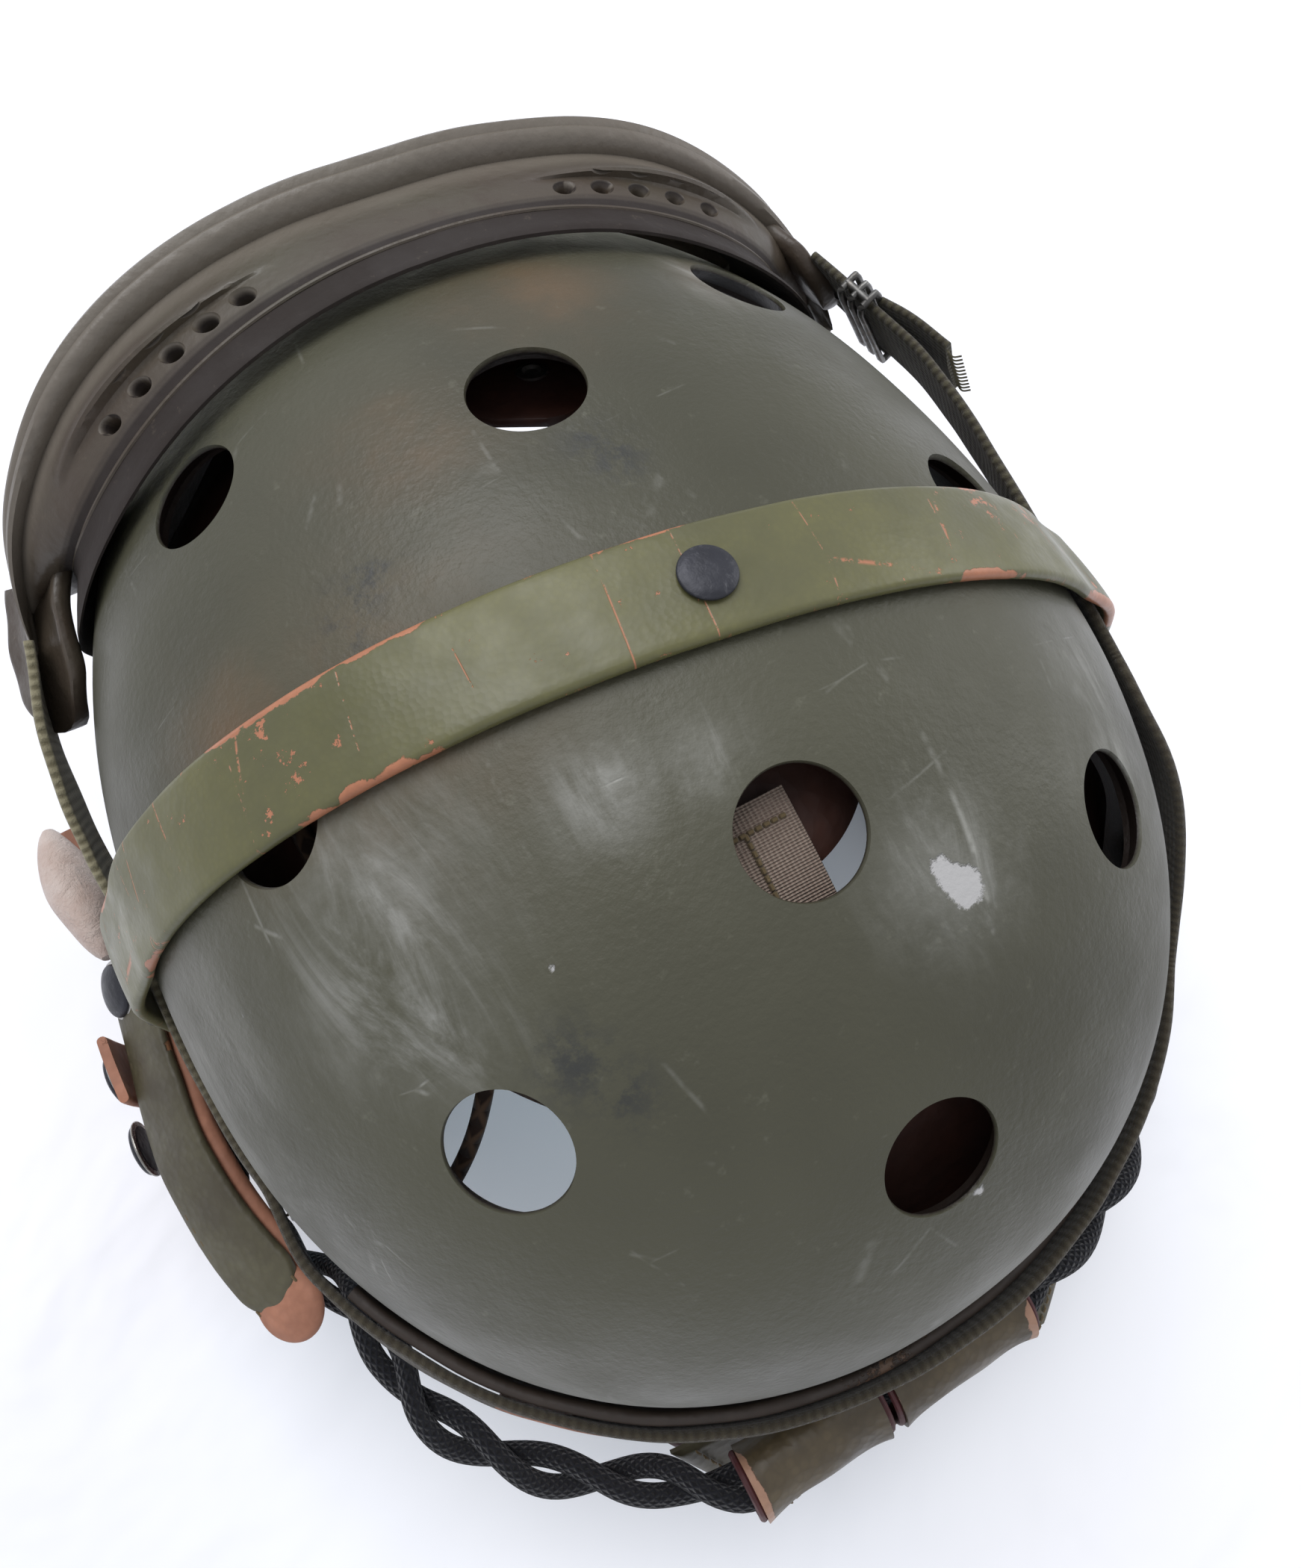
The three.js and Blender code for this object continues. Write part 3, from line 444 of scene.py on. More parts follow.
def stitches(name, line, outward, body, finish=None, pitch=3.2, length=2.3, radius=0.32):
    """A row of thread stitches along a line, one mesh."""
    line = np.asarray(line, float)
    index = np.arange(len(line))
    pick = lambda rows, t: np.stack([np.interp(t, index, rows[:, k]) for k in range(3)], -1)
    forward, outward = tangents(line), unit(np.broadcast_to(outward, line.shape).astype(float))
    angle = np.linspace(0, 2 * math.pi, 6, endpoint=False)
    made = []
    for t in np.linspace(0, len(line) - 1, max(2, int(length_of(line) / pitch))):
        p, f, o = pick(line, t), unit(pick(forward, t)), unit(pick(outward, t))
        s = unit(np.cross(f, o))
        rings = []
        for run, size, lift in ((-0.5, 0.5, -0.25), (-0.3, 1.0, 0.1), (0.3, 1.0, 0.1), (0.5, 0.5, -0.25)):
            centre = p + f * run * length + o * lift
            rings.append(centre + size * radius * (np.cos(angle)[:, None] * s + np.sin(angle)[:, None] * o))
        made.append(loft(rings))
    return piece(name, *gathered(made), finish or THREAD, body)


def seam_round(surface, inset, bottom, lift, count):
    """A path down one side of a sheet, along its lower edge and back up, a little inside its rim."""
    rim = np.linspace(inset, 1 - inset, 60)
    path = [surface(inset, v, lift) for v in rim]
    path += [surface(u, bottom, lift) for u in rim]
    path += [surface(1 - inset, v, lift) for v in rim[::-1]]
    return resample(np.array(path), count)


# Finishes -----------------------------------------------------------------------------------------
# The record's material slot of each finish whose own name isn't one.
SLOT_OF = {
    "strap_leather": "olive_leather", "sleeve_leather": "olive_leather", "liner_leather": "brown_leather",
    "shaded_khaki_webbing": "khaki_webbing", "rear_khaki_webbing": "khaki_webbing", "thread": "khaki_webbing",
    "tack_thread": "cream_webbing", "nickel": "steel",
}


class Finish:
    """A node material, with short calls for the nodes that finishes share."""

    def __init__(self, name, roughness=0.6, metallic=0.0, specular=0.5, sheen=0.0, coat=0.0):
        self.material = bpy.data.materials.new(name)
        self.material["slot"] = SLOT_OF.get(name, name)
        self.material.use_nodes = True
        self.tree = self.material.node_tree
        self.shader = self.tree.nodes["Principled BSDF"]
        self.place = self.add("ShaderNodeTexCoord").outputs["Object"]
        self.shader.inputs["Roughness"].default_value = roughness
        self.shader.inputs["Metallic"].default_value = metallic
        self.shader.inputs["Specular IOR Level"].default_value = specular
        self.shader.inputs["Sheen Weight"].default_value = sheen
        self.shader.inputs["Sheen Roughness"].default_value = 0.5
        self.shader.inputs["Coat Weight"].default_value = coat
        self.shader.inputs["Coat Roughness"].default_value = 0.35

    def add(self, kind, **settings):
        node = self.tree.nodes.new(kind)
        for key, value in settings.items():
            setattr(node, key, value)
        return node

    def wire(self, socket, value):
        if isinstance(value, bpy.types.NodeSocket):
            self.tree.links.new(value, socket)
        elif isinstance(value, (tuple, list)) and len(value) == 3 and socket.type == "RGBA":
            socket.default_value = (*value, 1)
        else:
            socket.default_value = value

    def stretched(self, scale, where=None):
        node = self.add("ShaderNodeMapping")
        self.wire(node.inputs["Vector"], where or self.place)
        node.inputs["Scale"].default_value = scale
        return node.outputs["Vector"]

    def noise(self, scale, detail=4.0, roughness=0.55, distortion=0.0, where=None):
        node = self.add("ShaderNodeTexNoise")
        self.wire(node.inputs["Vector"], where or self.place)
        node.inputs["Scale"].default_value = scale
        node.inputs["Detail"].default_value = detail
        node.inputs["Roughness"].default_value = roughness
        node.inputs["Distortion"].default_value = distortion
        return node.outputs["Fac"]

    def cells(self, scale, feature="F1", where=None):
        node = self.add("ShaderNodeTexVoronoi", feature=feature)
        self.wire(node.inputs["Vector"], where or self.place)
        node.inputs["Scale"].default_value = scale
        return node.outputs["Distance"]

    def band(self, value, low, high, to_low=0.0, to_high=1.0):
        node = self.add("ShaderNodeMapRange", interpolation_type="SMOOTHSTEP")
        self.wire(node.inputs["Value"], value)
        for key, number in (("From Min", low), ("From Max", high), ("To Min", to_low), ("To Max", to_high)):
            self.wire(node.inputs[key], number)
        return node.outputs["Result"]

    def calc(self, operation, a, b=0.0):
        node = self.add("ShaderNodeMath", operation=operation)
        self.wire(node.inputs[0], a)
        self.wire(node.inputs[1], b)
        return node.outputs[0]

    def mix(self, factor, a, b):
        node = self.add("ShaderNodeMix", data_type="RGBA")
        self.wire(node.inputs["Factor"], factor)
        self.wire(node.inputs[6], a)
        self.wire(node.inputs[7], b)
        return node.outputs[2]

    def attribute(self, name):
        return self.add("ShaderNodeAttribute", attribute_name=name).outputs["Fac"]

    def strip(self):
        """The strip attribute's across, along and up."""
        node = self.add("ShaderNodeSeparateXYZ")
        self.wire(node.inputs[0], self.add("ShaderNodeAttribute", attribute_name="strip").outputs["Vector"])
        return node.outputs

    def bump(self, height, distance, under=None):
        node = self.add("ShaderNodeBump")
        node.inputs["Distance"].default_value = distance
        self.wire(node.inputs["Height"], height)
        if under is not None:
            self.wire(node.inputs["Normal"], under)
        return node.outputs["Normal"]

    def done(self, colour, roughness=None, normal=None):
        self.wire(self.shader.inputs["Base Color"], colour)
        if roughness is not None:
            self.wire(self.shader.inputs["Roughness"], roughness)
        if normal is not None:
            self.wire(self.shader.inputs["Normal"], normal)
        return self.material


def srgb(*display):
    """Display red, green and blue from 0 to 255 to linear."""
    return tuple((c / 255 / 12.92) if c <= 10 else ((c / 255 + 0.055) / 1.055)**2.4 for c in display)


def paint_colour(f, haze, scratches, chip):
    """Olive paint with brown wear, speckles, pale haze (real rubbing and painted sheen), scratches, dark
    stains and chips.
    """
    paint = f.mix(f.band(f.noise(11, 3, 0.5), 0.3, 0.7), srgb(58, 57, 44), srgb(73, 72, 57))
    brown = f.calc("MULTIPLY", f.attribute("rust"), f.band(f.noise(38, 5, 0.6), 0.35, 0.65, 0.25, 1.0))
    paint = f.mix(brown, paint, srgb(92, 74, 52))
    speckle = f.band(f.noise(260, 3, 0.7), 0.62, 0.78)
    paint = f.mix(f.calc("MULTIPLY", speckle, 0.25), paint, srgb(112, 112, 98))
    # Pale haze: rubbed paint, and painted sheen on the lower sides.
    paint = f.mix(haze, paint, srgb(150, 150, 145))
    paint = f.mix(scratches, paint, srgb(176, 176, 170))
    dark = f.calc("MULTIPLY", f.attribute("stain"), f.band(f.noise(190, 5, 0.75), 0.42, 0.62))
    paint = f.mix(f.calc("MULTIPLY", dark, 0.8), paint, srgb(40, 42, 44))
    paint = f.mix(chip, paint, srgb(170, 169, 168))
    rim = f.calc("MULTIPLY", f.attribute("rim"), f.band(f.noise(240, 3, 0.7), 0.35, 0.7, 0.2, 0.85))
    paint = f.mix(rim, paint, srgb(118, 114, 98))
    return f.mix(f.attribute("inside"), paint, srgb(30, 23, 19))


def shell_paint():
    f = Finish("shell_paint", roughness=0.5, specular=0.42)
    streaks = f.band(f.noise(70, 6, 0.72, 1.5, f.stretched((1, 0.28, 1))), 0.42, 0.72)
    mist = f.band(f.noise(34, 6, 0.7), 0.3, 0.75)
    haze_pattern = f.calc("ADD", f.calc("MULTIPLY", streaks, 0.55), f.calc("MULTIPLY", mist, 0.4))
    # Pale haze where the scuff field is high: real rubbing, and painted sheen on the lower sides.
    haze = f.calc("MULTIPLY", f.attribute("scuff"), haze_pattern)
    lengthways = f.band(f.cells(26, "DISTANCE_TO_EDGE", f.stretched((1, 0.22, 1))), 0.0, 0.012, 1.0, 0.0)
    sideways = f.band(f.cells(33, "DISTANCE_TO_EDGE", f.stretched((0.2, 1, 0.7))), 0.0, 0.008, 1.0, 0.0)
    broken = f.band(f.noise(55, 4, 0.7), 0.56, 0.66)
    lines = f.calc("MULTIPLY", f.calc("MAXIMUM", lengthways, sideways), broken)
    scratches = f.calc("MULTIPLY", lines, f.calc("ADD", f.calc("MULTIPLY", f.attribute("scuff"), 0.5), 0.12))
    ragged = f.calc("ADD", f.attribute("chip"), f.calc("MULTIPLY", f.noise(330, 4, 0.8), 0.7))
    chip = f.band(ragged, 0.85, 1.0)
    shine = f.calc("ADD", f.band(f.noise(30, 4, 0.6), 0.3, 0.7, 0.4, 0.56), f.calc("MULTIPLY", haze, 0.2))
    lumps = f.bump(f.noise(22, 3, 0.5), 0.0012)
    grain = f.bump(f.noise(700, 3, 0.6), 0.00018, lumps)
    nicks = f.bump(f.calc("SUBTRACT", 1.0, f.calc("MAXIMUM", scratches, chip)), 0.00025, grain)
    return f.done(paint_colour(f, haze, scratches, chip), shine, nicks)


def leather(name, base, dark, worn, roughness=0.55, grain=520, wear=0.55, cracks=False, blotch=0.5,
            creases=0.0009, pebbling=0.00012):
    """Painted or dyed leather: mottled colour, pebbled grain, and the bare hide showing along worn edges."""
    f = Finish(name, roughness=roughness, specular=0.45)
    colour = f.mix(f.band(f.noise(42, 5, 0.65), 0.5 - 0.4 * blotch, 0.5 + 0.4 * blotch), base, dark)
    pits = f.cells(grain)
    colour = f.mix(f.band(pits, 0.25, 0.6, 0.0, 0.22), colour, dark)
    patches = f.band(f.noise(33, 4, 0.6), 0.5, 0.62)
    ragged = f.calc("ADD", f.calc("MULTIPLY", f.attribute("edge"), 0.45),
                    f.calc("MULTIPLY", f.noise(150, 6, 0.75), 0.6))
    ragged = f.calc("ADD", ragged, f.calc("MULTIPLY", patches, 0.3))
    bare = f.band(ragged, 1.16 - 0.4 * wear, 1.2 - 0.4 * wear)
    if cracks:
        strip = f.add("ShaderNodeAttribute", attribute_name="strip").outputs["Vector"]
        gaps = f.cells(1.0, "DISTANCE_TO_EDGE", f.stretched((0.12, 48, 0.0), strip))
        lines = f.band(gaps, 0.0, 0.008, 1.0, 0.0)
        bare = f.calc("MAXIMUM", bare, f.calc("MULTIPLY", lines, f.band(f.noise(120, 5, 0.8), 0.5, 0.56)))
        flakes = f.band(f.calc("ADD", f.noise(210, 5, 0.75), f.calc("MULTIPLY", patches, 0.07)), 0.67, 0.69)
        bare = f.calc("MAXIMUM", bare, flakes)
    hide = f.mix(f.noise(300, 4, 0.7), worn, tuple(0.55 * c for c in worn))
    colour = f.mix(bare, colour, hide)
    shine = f.band(f.noise(60, 4, 0.6), 0.3, 0.7, roughness - 0.1, roughness + 0.12)
    folds = f.bump(f.noise(60, 3, 0.5, 0.6), creases)
    pebble = f.bump(f.calc("SUBTRACT", pits, f.calc("MULTIPLY", bare, 2.0)), pebbling, folds)
    return f.done(colour, shine, pebble)


def webbing(name, base, dark, ribs=9.0, weave=1300.0, fuzz=1.0, shade=None):
    """Ribbed webbing with cross threads and fuzz. Before shade, two lengths in metres along it, it carries
    painted shade.
    """
    f = Finish(name, roughness=0.9, specular=0.15, sheen=0.2 * fuzz)
    across, along, _ = f.strip()
    rib = f.calc("SINE", f.calc("MULTIPLY", across, ribs * math.pi))
    thread = f.calc("SINE", f.calc("MULTIPLY", along, weave * 2))
    pattern = f.calc("ADD", f.calc("MULTIPLY", rib, 0.25), f.calc("MULTIPLY", thread, 0.3))
    colour = f.mix(f.band(pattern, -0.5, 0.4), dark, base)
    colour = f.mix(f.band(f.noise(60, 5, 0.7), 0.4, 0.75, 0.0, 0.5), colour, dark)
    colour = f.mix(f.band(f.noise(900, 3, 0.8), 0.55, 0.8, 0.0, 0.4 * fuzz), colour,
                   tuple(min(1, 1.5 * c) for c in base))
    if shade:
        # Painted shade along the first stretch of the strap.
        colour = f.mix(f.band(along, shade[0], shade[1], 0.86, 0.0), colour, srgb(50, 44, 37))
    weave_bump = f.bump(pattern, 0.0004)
    return f.done(colour, None, f.bump(f.noise(1500, 3, 0.8), 0.0004 * fuzz, weave_bump))


def braid(name, base, light, turns=4.0, pitch=0.0042):
    """Braided cloth over a wire: the strip attribute holds the angle round it and the length along it."""
    f = Finish(name, roughness=0.85, specular=0.25, sheen=0.15)
    angle, along, _ = f.strip()
    run = f.calc("MULTIPLY", along, 2 * math.pi / pitch)
    round_it = f.calc("MULTIPLY", angle, turns * math.pi)
    left = f.calc("SINE", f.calc("ADD", run, round_it))
    right = f.calc("SINE", f.calc("SUBTRACT", run, round_it))
    pattern = f.calc("MAXIMUM", left, right)
    colour = f.mix(f.band(pattern, 0.1, 1.0), base, light)
    colour = f.mix(f.band(f.noise(1100, 3, 0.8), 0.6, 0.8, 0.0, 0.3), colour,
                   tuple(min(1, 2.0 * c) for c in light))
    return f.done(colour, None, f.bump(pattern, 0.0003))


def soft_hide(name, base, dark, nap=1.0):
    """Chamois, suede or felt: napped and slightly soiled."""
    f = Finish(name, roughness=0.92, specular=0.15, sheen=0.3 * nap)
    colour = f.mix(f.band(f.noise(35, 6, 0.7), 0.35, 0.75), base, dark)
    colour = f.mix(f.band(f.noise(420, 4, 0.8), 0.5, 0.8, 0.0, 0.3), colour, dark)
    wrinkles = f.bump(f.noise(110, 5, 0.6, 1.2), 0.0012)
    return f.done(colour, None, f.bump(f.noise(1400, 3, 0.8), 0.0004 * nap, wrinkles))


def goggle_rubber():
    f = Finish("goggle_rubber", roughness=0.42, specular=0.42, coat=0.04)
    colour = f.mix(f.band(f.noise(14, 4, 0.6), 0.35, 0.7), srgb(66, 56, 47), srgb(74, 70, 57))
    colour = f.mix(f.band(f.noise(75, 5, 0.7), 0.5, 0.8, 0.0, 0.5), colour, srgb(58, 44, 36))
    colour = f.mix(f.calc("MULTIPLY", f.attribute("crest"), 0.7), colour, srgb(112, 105, 96))
    # Painted shade: the flange, where the wall turns down toward the face, and the vent bores are darkened.
    colour = f.mix(f.calc("MULTIPLY", f.attribute("flange"), 0.9), colour, srgb(30, 22, 20))
    colour = f.mix(f.band(f.noise(300, 4, 0.75), 0.6, 0.8, 0.0, 0.3), colour, srgb(120, 108, 92))
    shine = f.calc("ADD", f.band(f.noise(50, 5, 0.65), 0.3, 0.7, 0.36, 0.54),
                   f.calc("MULTIPLY", f.attribute("flange"), 0.35))
    dents = f.bump(f.noise(45, 4, 0.6), 0.0013)
    return f.done(colour, shine, f.bump(f.noise(500, 3, 0.6), 0.00015, dents))


def plain(name, base, dark, roughness=0.4, metallic=0.0, scuff=None, grain=400, coat=0.0):
    """Moulded plastic, rubber or metal: two tones, fine grain and scattered scuffs."""
    f = Finish(name, roughness=roughness, metallic=metallic, coat=coat)
    colour = f.mix(f.band(f.noise(70, 4, 0.6), 0.35, 0.7), base, dark)
    marks = f.calc("MULTIPLY", f.band(f.noise(160, 6, 0.75, 0.6), 0.55, 0.72), 0.6)
    colour = f.mix(marks, colour, scuff or tuple(min(1, 1.8 * c) for c in base))
    shine = f.calc("ADD", f.band(f.noise(90, 4, 0.6), 0.3, 0.7, roughness - 0.08, roughness + 0.1),
                   f.calc("MULTIPLY", marks, 0.15))
    return f.done(colour, shine, f.bump(f.noise(grain, 3, 0.6), 0.0002))


def lens_sheet():
    f = Finish("lens", roughness=0.12, specular=0.5)
    f.shader.inputs["Transmission Weight"].default_value = 0.92
    f.shader.inputs["IOR"].default_value = 1.3
    haze = f.band(f.noise(40, 5, 0.7), 0.4, 0.8, 0.08, 0.3)
    return f.done(f.mix(f.noise(25), srgb(236, 236, 222), srgb(214, 212, 190)), haze,
                  f.bump(f.noise(60, 3), 0.0003))


def floor_cloth():
    f = Finish("floor_cloth", roughness=0.95, specular=0.1)
    colour = f.mix(f.band(f.noise(3, 3, 0.5), 0.3, 0.7), srgb(242, 243, 248), srgb(249, 249, 252))
    return f.done(colour, None, f.bump(f.noise(5, 4, 0.5, 0.8), 0.012))


PAINT = shell_paint()
STRAP_LEATHER = leather("strap_leather", srgb(98, 96, 58), srgb(82, 81, 55), srgb(184, 122, 90), 0.4,
                        900, 0.88, cracks=True, blotch=0.7, creases=0.0003, pebbling=0.00003)
OLIVE = leather("olive_leather", srgb(84, 80, 60), srgb(64, 58, 44), srgb(140, 98, 68), 0.5, 480, 0.4)
SLEEVE = leather("sleeve_leather", srgb(92, 80, 58), srgb(54, 46, 34), srgb(176, 136, 112), 0.45, 480, 0.95,
                 blotch=0.8, creases=0.0014)
TAN = leather("tan_leather", srgb(170, 118, 94), srgb(132, 88, 68), srgb(190, 146, 124), 0.7, 420, 0.4)
BROWN = leather("brown_leather", srgb(56, 46, 39), srgb(42, 34, 29), srgb(96, 74, 58), 0.6, 420, 0.3)
LINER = leather("liner_leather", srgb(70, 40, 30), srgb(50, 29, 23), srgb(96, 62, 46), 0.6, 380, 0.3)
MAROON = leather("maroon_leather", srgb(84, 32, 34), srgb(58, 24, 26), srgb(112, 62, 54), 0.6, 420, 0.3)
CHAMOIS = soft_hide("chamois", srgb(206, 192, 184), srgb(178, 152, 140))
FELT = soft_hide("felt", srgb(112, 102, 82), srgb(82, 74, 60), 1.4)
KHAKI = webbing("khaki_webbing", srgb(142, 136, 112), srgb(92, 86, 66), 13.0, 1500.0)
# A darker copy of the khaki webbing: painted shade for the right strap and its free end.
SHADED_KHAKI = webbing("shaded_khaki_webbing", srgb(82, 78, 62), srgb(54, 49, 40), 13.0, 1500.0)
# The rear strap is darkened by painted shade from its right end round the back.
REAR_KHAKI = webbing("rear_khaki_webbing", srgb(142, 136, 112), srgb(92, 86, 66), 13.0, 1500.0,
                     shade=(0.34, 0.44))
CREAM = webbing("cream_webbing", srgb(158, 143, 130), srgb(118, 101, 91), 27.0, 6500.0, 0.3)
BLACK_CLOTH = braid("black_cloth", srgb(19, 19, 23), srgb(26, 27, 33), 9.0, 0.0022)
BROWN_LACE = braid("brown_lace", srgb(40, 28, 22), srgb(82, 64, 50), 2.0, 0.006)
THREAD, TACK_THREAD = (
    braid(name, srgb(96, 82, 58), srgb(140, 124, 94), 1.0, 0.002) for name in ("thread", "tack_thread"))
RUBBER = goggle_rubber()
BLACK_RUBBER = plain("black_rubber", srgb(30, 29, 28), srgb(20, 20, 20), 0.6, 0.0, srgb(70, 66, 62))
BAKELITE = plain("bakelite", srgb(20, 19, 21), srgb(30, 27, 26), 0.28, 0.0, srgb(58, 54, 50), 300, 0.2)
BLACK_METAL = plain("black_metal", srgb(46, 47, 54), srgb(30, 31, 36), 0.42, 0.35, srgb(108, 108, 112))
STEEL = plain("steel", srgb(120, 120, 118), srgb(84, 82, 80), 0.38, 0.85, srgb(150, 140, 128))
NICKEL = plain("nickel", srgb(176, 174, 170), srgb(130, 126, 120), 0.28, 0.9, srgb(200, 198, 192))
LENS = lens_sheet()


# Receiver lead ------------------------------------------------------------------------------------
# A twisted pair from the left receiver round the back, through the leather sleeves, to the right one.
LEAD_ROUTE = [
    (-128.4, -6, -64), (-128.4, -20, -62), (-124.6, -36, -56), (-115, -52, -47), (-107, -66, -38),
    (-103.5, -79, -31), (-101, -92, -29), (-93.5, -105, -30), (-83.5, -116, -31), (-72, -124.5, -31),
    (-61, -131, -29), (-52, -137, -26.5), (-45, SLEEVE_Y, SLEEVE_Z), (-10, SLEEVE_Y, SLEEVE_Z),
    (20, SLEEVE_Y, SLEEVE_Z), (32, -139, -26), (46, -136, -27), (64, -130, -28), (82, -118, -30.5),
    (95, -104, -30), (101.5, -91, -29), (103.5, -79, -31), (107, -66, -38), (115, -52, -47),
    (124.6, -36, -56), (128.4, -20, -62), (128.4, -6, -64),
]
STRAND_RADIUS, TWIST_RADIUS, TWIST_PITCH = 2.4, 2.75, 46.0


def twisted_pair(name, line, start, body, node, blend=None):
    """Two cloth-covered strands twisted round a line that begins start millimetres along the whole lead."""
    forward = tangents(line)
    side = unit(np.cross(forward, [0.0, 0.0, 1.0]))
    other = np.cross(forward, side)
    turn = 2 * math.pi * (start + reach_along(line)) / TWIST_PITCH + 0.9
    made = []
    for k in (0, 1):
        angle = (turn + k * math.pi)[:, None]
        path = line + TWIST_RADIUS * (np.cos(angle) * side + np.sin(angle) * other)
        made.append(tube(f"{name}_{k}", path, STRAND_RADIUS, BLACK_CLOTH, None, sides=14))
    pair = join(name, made)
    if blend:
        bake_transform(pair)
    else:
        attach(pair, body)
    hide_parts(node)


def add_lead():
    """The lead in five stretches, split where it passes from one moving body to the next."""
    whole = spline(LEAD_ROUTE, 1200)
    right_back = int(np.argmax(whole[:, 0] > 63))
    cuts = [0, int(np.argmax(whole[:, 1] < -79)), int(np.argmax(whole[:, 0] > -63)), right_back,
            right_back + int(np.argmax(whole[right_back:, 1] > -79)), len(whole) - 1]
    step = length_of(whole) / (len(whole) - 1)
    at_ear = lambda x: [place([x, -46, -46]), place([x, -78, -46])]
    at_neck = lambda side: [place([80 * side, -118, -30]), place([64 * side, -129, -30])]
    stretches = [
        ("left_ear_lead", "lead_left_ear", None, ("left_ear_flap", "helmet", *at_ear(-110))),
        ("left_back_lead", "lead_left_back", None, ("helmet", "neck_flap_body", *at_neck(-1))),
        ("sleeve_lead", "lead_in_sleeves", "neck_flap_body", None),
        ("right_back_lead", "lead_right_back", None, ("helmet", "neck_flap_body", *at_neck(1))),
        ("right_ear_lead", "lead_right_ear", None, ("right_ear_flap", "helmet", *at_ear(110))),
    ]
    for (name, node, body, blend), a, b in zip(stretches, cuts, cuts[1:]):
        line = whole[np.append(np.arange(a, b, 4), b)]
        twisted_pair(name, line, a * step, body, node, blend)


# Shell --------------------------------------------------------------------------------------------
# Scuffs on the paint, some of them painted sheen near the sides: place on the dome, and the radius each fades
# out over.
SCUFFS_AND_SHEEN = [
    ((-57, -19, 85), 15), ((-63, -26, 80), 16), ((-60, -38, 78), 12), ((-64, -10, 80), 9),
    ((-96, -20, 46), 15), ((-99, -48, 24), 20), ((-58, -100, 18), 17), ((-82, -78, 16), 14),
    ((62, -52, 73), 11),
    ((68, -36, 72), 10), ((18, -56, 88), 11), ((-24, -22, 96), 7), ((-8, -24, 97), 6), ((50, 69, 78), 9),
    ((90, -30, 55), 16), ((98, 20, 40), 18),
]
RUST = [((-46, 10, 91), 22), ((-67, 15, 79), 16), ((-22, 50, 92), 13), ((11, 73, 88), 15), ((50, 69, 78), 8),
        ((95, 25, 50), 14)]
STAINS = [((-38, 28, 92), 5), ((-43, 25, 91), 5), ((-45, 21, 90), 4), ((5.6, 27, 97.6), 5), ((3, 32, 97), 4),
          ((-44, -53, 83), 6), ((-40, -60, 82), 5), ((-60, 86, 68), 14)]
CHIPS = [((19.7, -58.5, 87.5), 4.6), ((17.5, -55, 88.7), 3.2), ((-87, -18, 60), 1.5),
         ((-41.5, -40.4, 87.6), 1.4), ((-74, -64, 57), 1.6), ((4, -100, 62), 1.7), ((50.5, 67, 79), 2.4)]


def spots(points, marks):
    """How strongly each point is marked, from 0 to 1."""
    total = np.zeros(len(points))
    for centre, radius in marks:
        far = np.linalg.norm(points - np.array(centre), axis=1)
        total = np.maximum(total, np.exp(-(far / radius)**2))
    return total


def vent_axes():
    places = CENTRE_VENTS + [(side * x, y) for x, y in SIDE_VENTS for side in (1, -1)]
    centres = above_dome([x for x, _ in places], [y for _, y in places])
    return centres, dome_normal(centres)


def vent_drill():
    """One mesh of all the drills, each widening behind a thin outer lip."""
    profile = [(2.6, -14), (2.6, -3.8), (0, -1.3), (0.15, -0.7), (1.0, 1.6), (1.0, 12)]
    made = []
    for centre, normal in zip(*vent_axes()):
        spoke = spokes(normal, 72, [0.2, 0.9, 0.1])
        rings = [centre + spoke * (VENT_RADIUS + wider) + normal * height for wider, height in profile]
        made.append(loft(rings))
    return piece("vent_drill", *gathered(made), PAINT, None)


def cut_away(target, tool, finish, sharp=None):
    """Cuts tool out of target for good, and removes it."""
    cutter = target.modifiers.new("cut", "BOOLEAN")
    cutter.object, cutter.operation, cutter.solver = tool, "DIFFERENCE", "EXACT"
    bpy.context.view_layer.update()
    cut = bpy.data.meshes.new_from_object(target.evaluated_get(bpy.context.evaluated_depsgraph_get()))
    target.modifiers.clear()
    old, target.data = target.data, cut
    bpy.data.meshes.remove(old)
    bpy.data.objects.remove(tool)
    cut.materials.clear()
    cut.materials.append(finish)
    if sharp:
        smooth(cut, sharp)


def shell_rings():
    """Rings of the shell from its crown down the outside, round the lower edge and back up the inside."""
    around = 240
    azimuth = np.linspace(0, 2 * math.pi, around, endpoint=False)
    rises = np.radians(np.concatenate([np.linspace(88.5, 12, 62), np.linspace(11, 0, 10)]))
    lower_edge = ((-19.6, -0.4), (-20, -1.3), (-20, -WALL + 1.3), (-19.6, -WALL + 0.4))
    rings = [on_dome(azimuth, np.full(around, rise)) for rise in rises]
    rings += [outline(azimuth, z) for z in np.linspace(-2, -18.6, 9)]
    rings += [outline(azimuth, z, offset) for z, offset in lower_edge]
    rings += [outline(azimuth, z, -WALL) for z in (-18.6, -10, -2)]
    rings += [on_dome(azimuth, np.full(around, rise), -WALL) for rise in rises[::-3]]
    rings = np.array(rings)
    dents = ripple(rings, 34, 2).reshape(rings.shape[:2]) * 0.28
    above_edge = np.where(rings[..., 2] > -16, 1.0, 0.0)
    return rings + dome_normal(rings + 1e-6) * above_edge[..., None] * dents[..., None]


